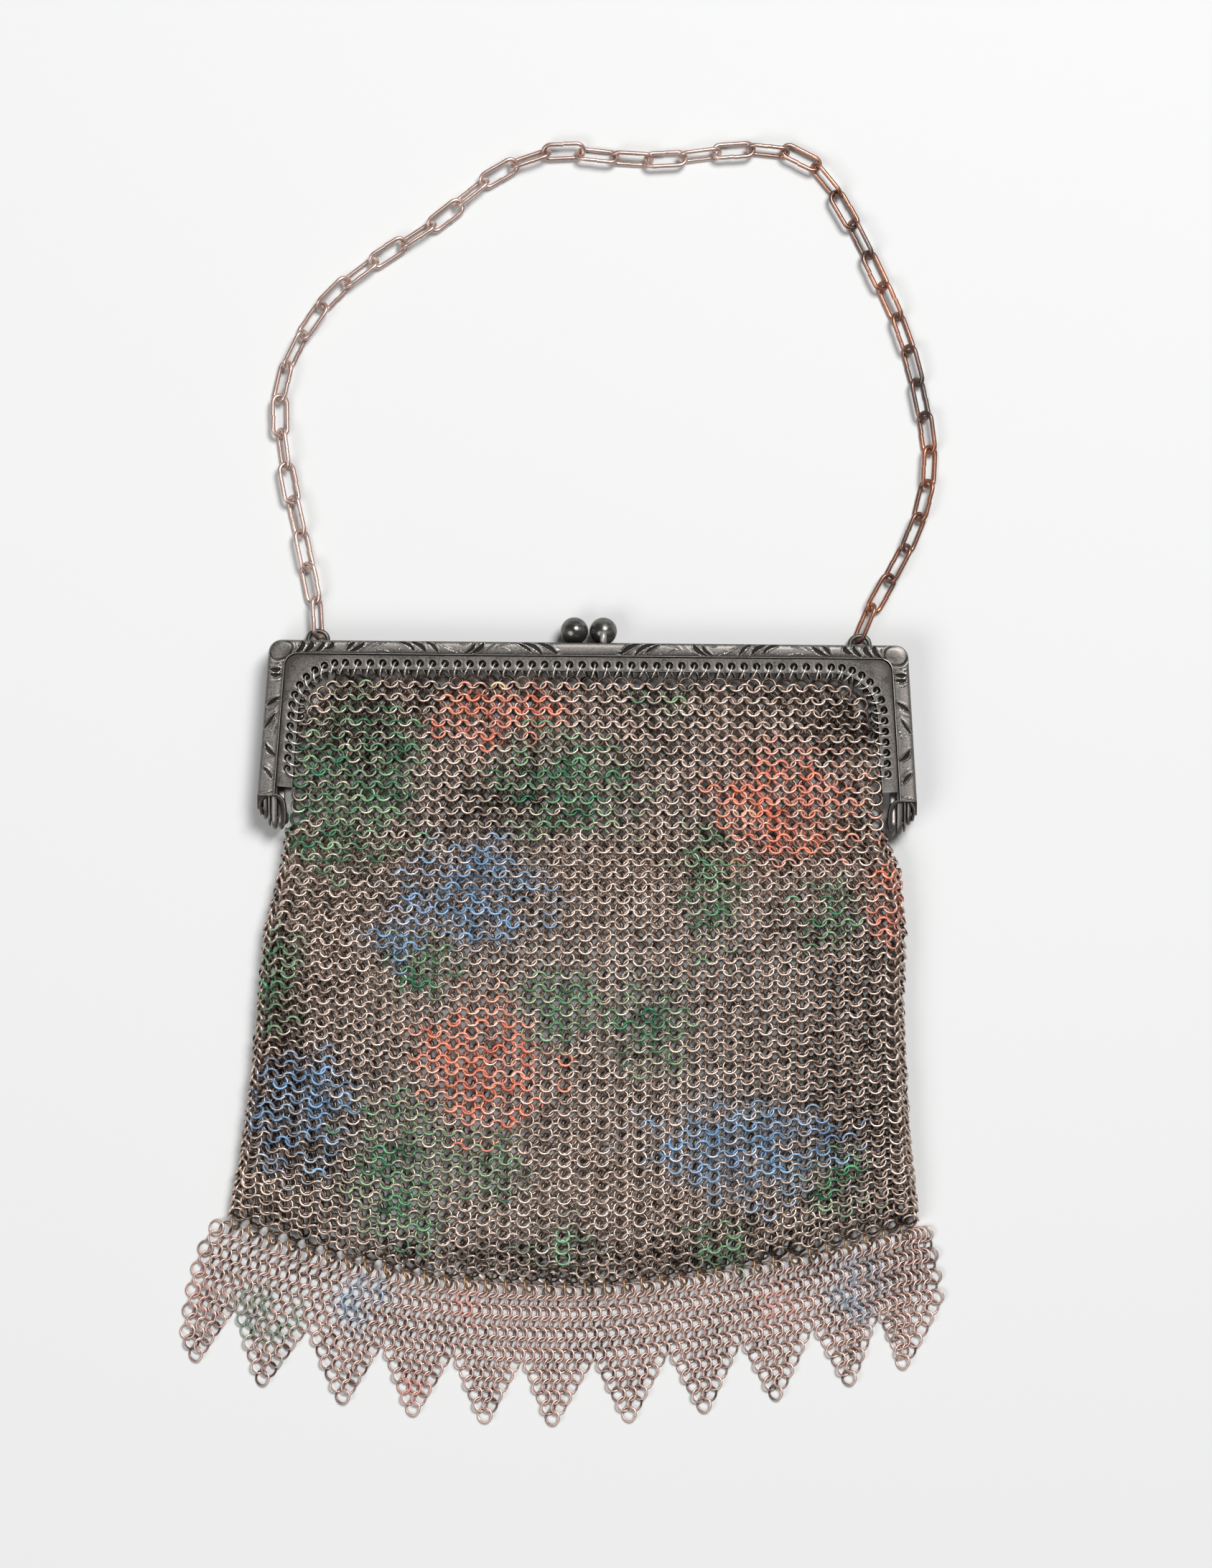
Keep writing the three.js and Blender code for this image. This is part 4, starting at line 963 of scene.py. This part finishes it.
def ring_paint(middles, random):
    """Colour of each ring, and how much paint is on it. It lies unevenly, ring by ring."""
    colour = np.empty((len(middles), 3))
    colour[:] = (0.5, 0.4, 0.36)
    amount = np.zeros(len(middles))
    pale = random.beta(1.2, 3.2, len(middles))[:, None]
    tone = np.exp(random.normal(0, 0.4, len(middles)))[:, None]
    for name, x, y, breadth, height in paint_patches:
        wobble = random.normal(0, 0.2, len(middles))
        away = np.hypot((middles[:, 0] - x) / breadth, (middles[:, 1] - y) / height) + wobble
        strength = np.clip((1.35 - away) / 0.9, 0, 1) * random.uniform(0.1, 0.95, len(middles))
        more = strength > amount
        shade = np.array(paint_colours[name]) * tone * (1 - pale) + np.array(paint_pales[name]) * pale
        colour[more] = shade[more]
        amount[more] = strength[more]
    return np.clip(colour, 0, 1), amount


def ring_mesh(name, middles, one, other, colours, amounts, radius, wire_radius, around, sides):
    """Rings of round wire in one piece. Each lies in the plane of its two directions."""
    count = len(middles)
    normal = np.cross(one, other)
    angle = 2 * np.pi * np.arange(around) / around
    turn = 2 * np.pi * np.arange(sides) / sides
    way = np.cos(angle)[None, :, None] * one[:, None] + np.sin(angle)[None, :, None] * other[:, None]
    points = (
        middles[:, None, None]
        + way[:, :, None] * (radius + wire_radius * np.cos(turn)[None, None, :, None])
        + normal[:, None, None] * wire_radius * np.sin(turn)[None, None, :, None]
    )
    index = np.arange(count * around * sides).reshape(count, around, sides)
    right = np.roll(index, -1, 1)
    faces = np.stack([index, right, np.roll(right, -1, 2), np.roll(index, -1, 2)], -1).reshape(-1, 4)
    mesh = mesh_from(name, points.reshape(-1, 3), faces)
    mesh.shade_smooth()
    paint = mesh.attributes.new("paint", "FLOAT_COLOR", "POINT")
    full = np.concatenate([colours, amounts[:, None]], 1)
    paint.data.foreach_set("color", np.repeat(full, around * sides, 0).ravel())
    # Painted light and shade: each ring is made lighter on its upper side and darker on its lower side, as
    # light from above falls on it; the same value also stands for the rubbing of the arcs that show.
    shown = mesh.attributes.new("shown", "FLOAT", "POINT")
    height = points[..., 2] - middles[:, None, None, 2]
    shown.data.foreach_set("value", (0.5 + height / 1.9).ravel())
    tone = mesh.attributes.new("tone", "FLOAT", "POINT")
    tones_and_painted_shade = np.random.default_rng(count).normal(0, 0.5, count)
    # Painted shade: rings in these patches are darkened on top of their random tone, and the tone attribute
    # carries both.
    for x, y, half_breadth, half_height, much in painted_shade_patches:
        away = ((middles[:, 0] - x) / half_breadth) ** 2 + ((middles[:, 1] - y) / half_height) ** 2
        tones_and_painted_shade -= much * 1.2 * np.exp(-away)
    tone.data.foreach_set("value", np.repeat(tones_and_painted_shade, around * sides))
    # Each ring has its own square of the map that a bake fills.
    squares = math.ceil(math.sqrt(count))
    column = (np.arange(count) % squares)[:, None, None, None]
    line = (np.arange(count) // squares)[:, None, None, None]
    along_ring = np.arange(around)[None, :, None, None] + np.array([0, 1, 1, 0])
    round_wire = np.arange(sides)[None, None, :, None] + np.array([0, 0, 1, 1])
    u = (column + 0.05 + 0.9 * along_ring / around) / squares
    v = (line + 0.05 + 0.9 * round_wire / sides) / squares
    layer = mesh.uv_layers.new(name="OFBake")
    layer.data.foreach_set("uv", np.stack(np.broadcast_arrays(u, v), -1).ravel())
    return object_of(name, mesh)


def ring_metal_of(name, bare_and_highlight, tarnish_and_shade, rough):
    """Ring wire: tarnished brown, darkened further by painted shade, on each ring's lower side; rubbed
    bare, lightened further by a painted highlight, on its upper side; printed on the arcs that show
    """
    finish = Finish(name)
    paint = finish.own("paint", "Color")
    amount = finish.own("paint", "Alpha")
    shown = finish.own("shown")
    # The tone attribute holds each ring's random tone together with the painted shade.
    tone_and_painted_shade = finish.own("tone")
    patches = finish.noise(70, 3)
    specks = finish.noise(1400, 3)
    # Painted light and shade: top runs from dark tarnish on a ring's lower side to bare metal on its upper
    # side, together with the ring's random tone and the painted shade patches.
    top = finish.between(shown + (specks - 0.5) * 0.4 + (patches - 0.5) * 0.6 + tone_and_painted_shade * 0.35, 0.08, 0.7)
    painted = finish.between(amount * (0.35 + top * 0.75) + (specks - 0.5) * 0.35, 0.14, 0.5)
    metal = finish.mix(top, tarnish_and_shade, bare_and_highlight)
    return finish.surface({
        "Base Color": finish.mix(painted, metal, paint),
        "Metallic": 0.75 - painted * 0.5,
        "Roughness": rough + (specks - 0.5) * 0.3,
    })


# The light colour is bare metal with a painted highlight, the dark one tarnish with painted shade.
ring_metal = ring_metal_of("ring_metal", (0.66, 0.52, 0.44, 1), (0.04, 0.024, 0.017, 1), 0.36)
random = np.random.default_rng(11)
colours, amounts = ring_paint(bag_rings["middle"], random)
bottom_lean = 0.4
bottom = bag_rings["row"] == row_count - 1
lean = np.where(bag_rings["row"] % 2 == 0, 1, -1) * (mesh_tilt + random.normal(0, 0.09, len(colours)))
lean = np.where(bottom, lean * bottom_lean, lean)
cast_aside = random.normal(0, 0.1, len(colours))[:, None]
one = unit(bag_rings["across"] + bag_rings["out"] * cast_aside)
other = bag_rings["down"] * np.cos(lean)[:, None] + bag_rings["out"] * np.sin(lean)[:, None]
bag_rings["middle"] += random.normal(0, 0.1, bag_rings["middle"].shape) * (1, 1, 0.3)
steep = np.sqrt(1 - np.cross(one, other)[:, 2] ** 2)
# The back has fewer sides to its wire, which is thicker to make up for it.
back_thicker = 0.14
lowest = bag_rings["middle"][:, 2] - ring_radius * steep - ring_wire - back_thicker
bag_rings["middle"][:, 2] -= np.minimum(lowest, 0)
in_front = bag_rings["out"][:, 2] > 0
amounts = np.where(in_front, amounts, amounts * 0.5)
upper = bag_rings["row"] < row_count / 2
for name, some, around in [
    ("mesh_front_upper", in_front & upper, 12), ("mesh_front_lower", in_front & ~upper, 12),
    ("mesh_back_upper", ~in_front & upper, 10), ("mesh_back_lower", ~in_front & ~upper, 10),
]:
    sides = 4 if around == 12 else 3
    thick = ring_wire if around == 12 else ring_wire + back_thicker
    piece = ring_mesh(name, bag_rings["middle"][some], one[some], other[some],
                      colours[some], amounts[some], ring_radius, thick, around, sides)
    fitted(piece, ring_metal, "ring_mesh", "mesh_bag")

# Bright rings lace the mesh to the flange, one through each hole. They stand up at the top of the
# frame, and open out more towards its sides.
# Its light colour carries a painted highlight and its dark colour painted shade, as the bag's rings do.
lacing_metal = ring_metal_of("lacing_metal", (0.85, 0.79, 0.7, 1), (0.1, 0.085, 0.075, 1), 0.28)
lacing_radius = 1.66
lacing_wire = 0.19
lacing_level = 3.75
lacing_reach = 1.5
lacing_lowest = 2.05
lacing = {"middle": [], "one": [], "other": []}
random = np.random.default_rng(5)
_, hole_outward = along(hole_line, np.array(hole_distances))
for hand in (-1, 1):
    for hole, way in zip(hole_centres, hole_outward):
        for half in (1, -1):
            inward = np.array([-way[0] * hand, -way[1], 0])
            slant = math.radians(-20 + random.normal(0, 6)) * (1 if half > 0 else -1)
            inward = np.array([
                inward[0] * math.cos(slant) - inward[1] * math.sin(slant),
                inward[0] * math.sin(slant) + inward[1] * math.cos(slant), 0,
            ])
            open_up = math.radians(5 + 29 * abs(way[0]) + random.normal(0, 3))
            side = np.cross((0, 0, 1.0), inward)
            up = np.array([0, 0, 1.0]) * math.cos(open_up) + side * math.sin(open_up) * hand
            middle = np.array([hole[0] * hand, hole[1], half_level + half * lacing_level])
            lacing["middle"].append(middle + inward * lacing_reach)
            lacing["one"].append(inward)
            lacing["other"].append(up * (1 if half > 0 else -1))
lacing = {name: np.array(values) for name, values in lacing.items()}
middle = lacing["middle"]
middle[:, 2] = np.maximum(middle[:, 2], lacing_lowest)
piece = ring_mesh("lacing", middle, lacing["one"], lacing["other"],
                  np.full((len(middle), 3), 0.5), np.zeros(len(middle)), lacing_radius, lacing_wire, 20, 5)
fitted(piece, lacing_metal, "ring_mesh")

# The fringe is the same mesh turned on its side, so that its columns hang, and cut into eleven
# points that each end in one ring.
fringe_columns = 148
point_columns = 14
first_tip_column = 2
tip_row = 12
fringe_radius = 1.7
fringe_wire = 0.26
fringe_row_pitch = 2.42
fringe_top_gap = 0.8
fringe_tilt = math.radians(21)
fringe_level = 0.92
top_columns = np.array([0, 141, 148])
top_places = np.array([-84.0, 75.8, 79.0])
# How far each point hangs to one side of its top, in millimetres
tip_drifts = np.array([-8.3, -8.6, -5.7, -5.2, -4.3, -4.4, -2.4, -0.8, 0.0, 1.2, -1.6])
last_drift = 4.2
drift_reach = 12
longest_drop = 33
tip_columns = first_tip_column + point_columns * np.arange(11)


def fringe_point(column, drop):
    """A place on a hanging column, so far below the bag's lower edge"""
    top = np.interp(column, top_columns, top_places)
    drift = np.interp(column, np.append(tip_columns, fringe_columns), np.append(tip_drifts, last_drift))
    ease = (1 - np.exp(-drop / drift_reach)) / (1 - math.exp(-longest_drop / drift_reach))
    across = np.clip(np.where(top < 0, top / bag_spread[0], top / bag_spread[1]), -1, 1)
    y = -bag_side_depth - sag_at(across) - fringe_top_gap - drop
    return np.stack([top + drift * ease, y, np.full_like(top, fringe_level)], -1)


rings = {"drop": [], "column": []}
for column in range(fringe_columns + 1):
    beside = abs((column - first_tip_column + point_columns / 2) % point_columns - point_columns / 2)
    rows = np.arange(column % 2, tip_row - beside + 0.5, 2)
    rings["drop"].append(fringe_radius + fringe_wire + rows * fringe_row_pitch)
    rings["column"].append(np.full(len(rows), float(column)))
drop, column = (np.concatenate(rings[name]) for name in ("drop", "column"))
middle = fringe_point(column, drop)
below = unit(fringe_point(column, drop + 0.5) - fringe_point(column, drop - 0.5))
side = unit(np.cross(below, (0, 0, 1.0)) * -1)
random = np.random.default_rng(3)
at_edge = (column == 0) | (column == fringe_columns)
tilt = np.where(at_edge, 0.5, 1) * fringe_tilt + random.normal(0, 0.04, len(column))
lean = np.where(column % 2 == 0, 1, -1) * tilt
other = side * np.cos(lean)[:, None] + np.array([0, 0, 1.0]) * np.sin(lean)[:, None]
colours, amounts = ring_paint(middle, random)
# Its light colour carries a painted highlight and its dark colour painted shade, as the bag's rings do.
fringe_metal = ring_metal_of("fringe_metal", (0.68, 0.48, 0.42, 1), (0.1, 0.052, 0.042, 1), 0.38)
piece = ring_mesh("fringe", middle, below, other, colours * 0.6 + 0.16, amounts * 0.8,
                  fringe_radius, fringe_wire, 16, 5)
fitted(piece, fringe_metal, "fringe_rings", "mesh_fringe")

# Brass rings join every bottom ring of the bag to two top rings of the fringe. They stand nearly
# on edge.
connector_radius = 1.68
connector_wire = 0.27
connector_level = connector_radius + connector_wire
connector_shift = (-0.85, -2.35, 0)
connector_ends = (-82, 76)
middle = bag_rings["middle"][bottom & in_front] + connector_shift
middle = middle[(middle[:, 0] > connector_ends[0]) & (middle[:, 0] < connector_ends[1])]
middle[:, 2] = connector_level
random = np.random.default_rng(9)
open_up = np.radians(32 + random.normal(0, 5, len(middle)))
slant = np.radians(15 + random.normal(0, 5, len(middle)))
one = np.column_stack([np.sin(slant), -np.cos(slant), np.zeros(len(middle))])
across = np.column_stack([np.cos(slant), np.sin(slant), np.zeros(len(middle))])
other = -across * np.sin(open_up)[:, None] + np.array([0, 0, 1.0]) * np.cos(open_up)[:, None]
# Its light colour carries a painted highlight and its dark colour painted shade, as the bag's rings do.
brass = ring_metal_of("connector_brass", (0.36, 0.22, 0.1, 1), (0.12, 0.075, 0.04, 1), 0.4)
piece = ring_mesh("connectors", middle, one, other, np.full((len(middle), 3), 0.5),
                  np.zeros(len(middle)), connector_radius, connector_wire, 20, 6)
fitted(piece, brass, "fringe_rings")

# A pale floor, a broad soft light from the upper right, a fill from the left, and the camera
# straight above, turned a little as the photograph is.
floor_mesh = bpy.data.meshes.new("floor")
floor_mesh.from_pydata([(-3, -3, 0), (3, -3, 0), (3, 3, 0), (-3, 3, 0)], [], [(0, 1, 2, 3)])
floor = object_of("floor", floor_mesh)
paper = Finish("pale_paper")
fibres = paper.noise(300, 4)
floor_mesh.materials.append(paper.surface({
    "Base Color": paper.mix(fibres * 0.2, (0.67, 0.676, 0.672, 1), (0.645, 0.65, 0.645, 1)),
    "Roughness": 0.85,
}))


def soft_light(name, place, size, power):
    """A square light turned towards the purse; place and size in metres, power in watts"""
    light = bpy.data.lights.new(name, "AREA")
    light.size = size
    light.energy = power
    made = object_of(name, light)
    made.location = place
    way = -made.location.normalized()
    made.rotation_euler = way.to_track_quat("-Z", "Y").to_euler()


soft_light("key", (0.5, 0.8, 1.7), 0.65, 40)
soft_light("fill", (-1.0, -0.7, 1.6), 1.1, 17)
world = bpy.data.worlds.new("studio")
world.use_nodes = True
background = world.node_tree.nodes["Background"]
background.inputs["Color"].default_value = (0.96, 0.96, 0.95, 1)
background.inputs["Strength"].default_value = 0.12
bpy.context.scene.world = world
bpy.context.scene.view_settings.view_transform = "Standard"

lens = bpy.data.cameras.new("camera")
lens.sensor_fit = "VERTICAL"
lens.sensor_height = 36
lens.lens = 118.2
camera = object_of("camera", lens)
camera.location = placed((4.316, -32.634, 1200))
camera.rotation_euler = (0, 0, math.radians(0.546))
bpy.context.scene.camera = camera
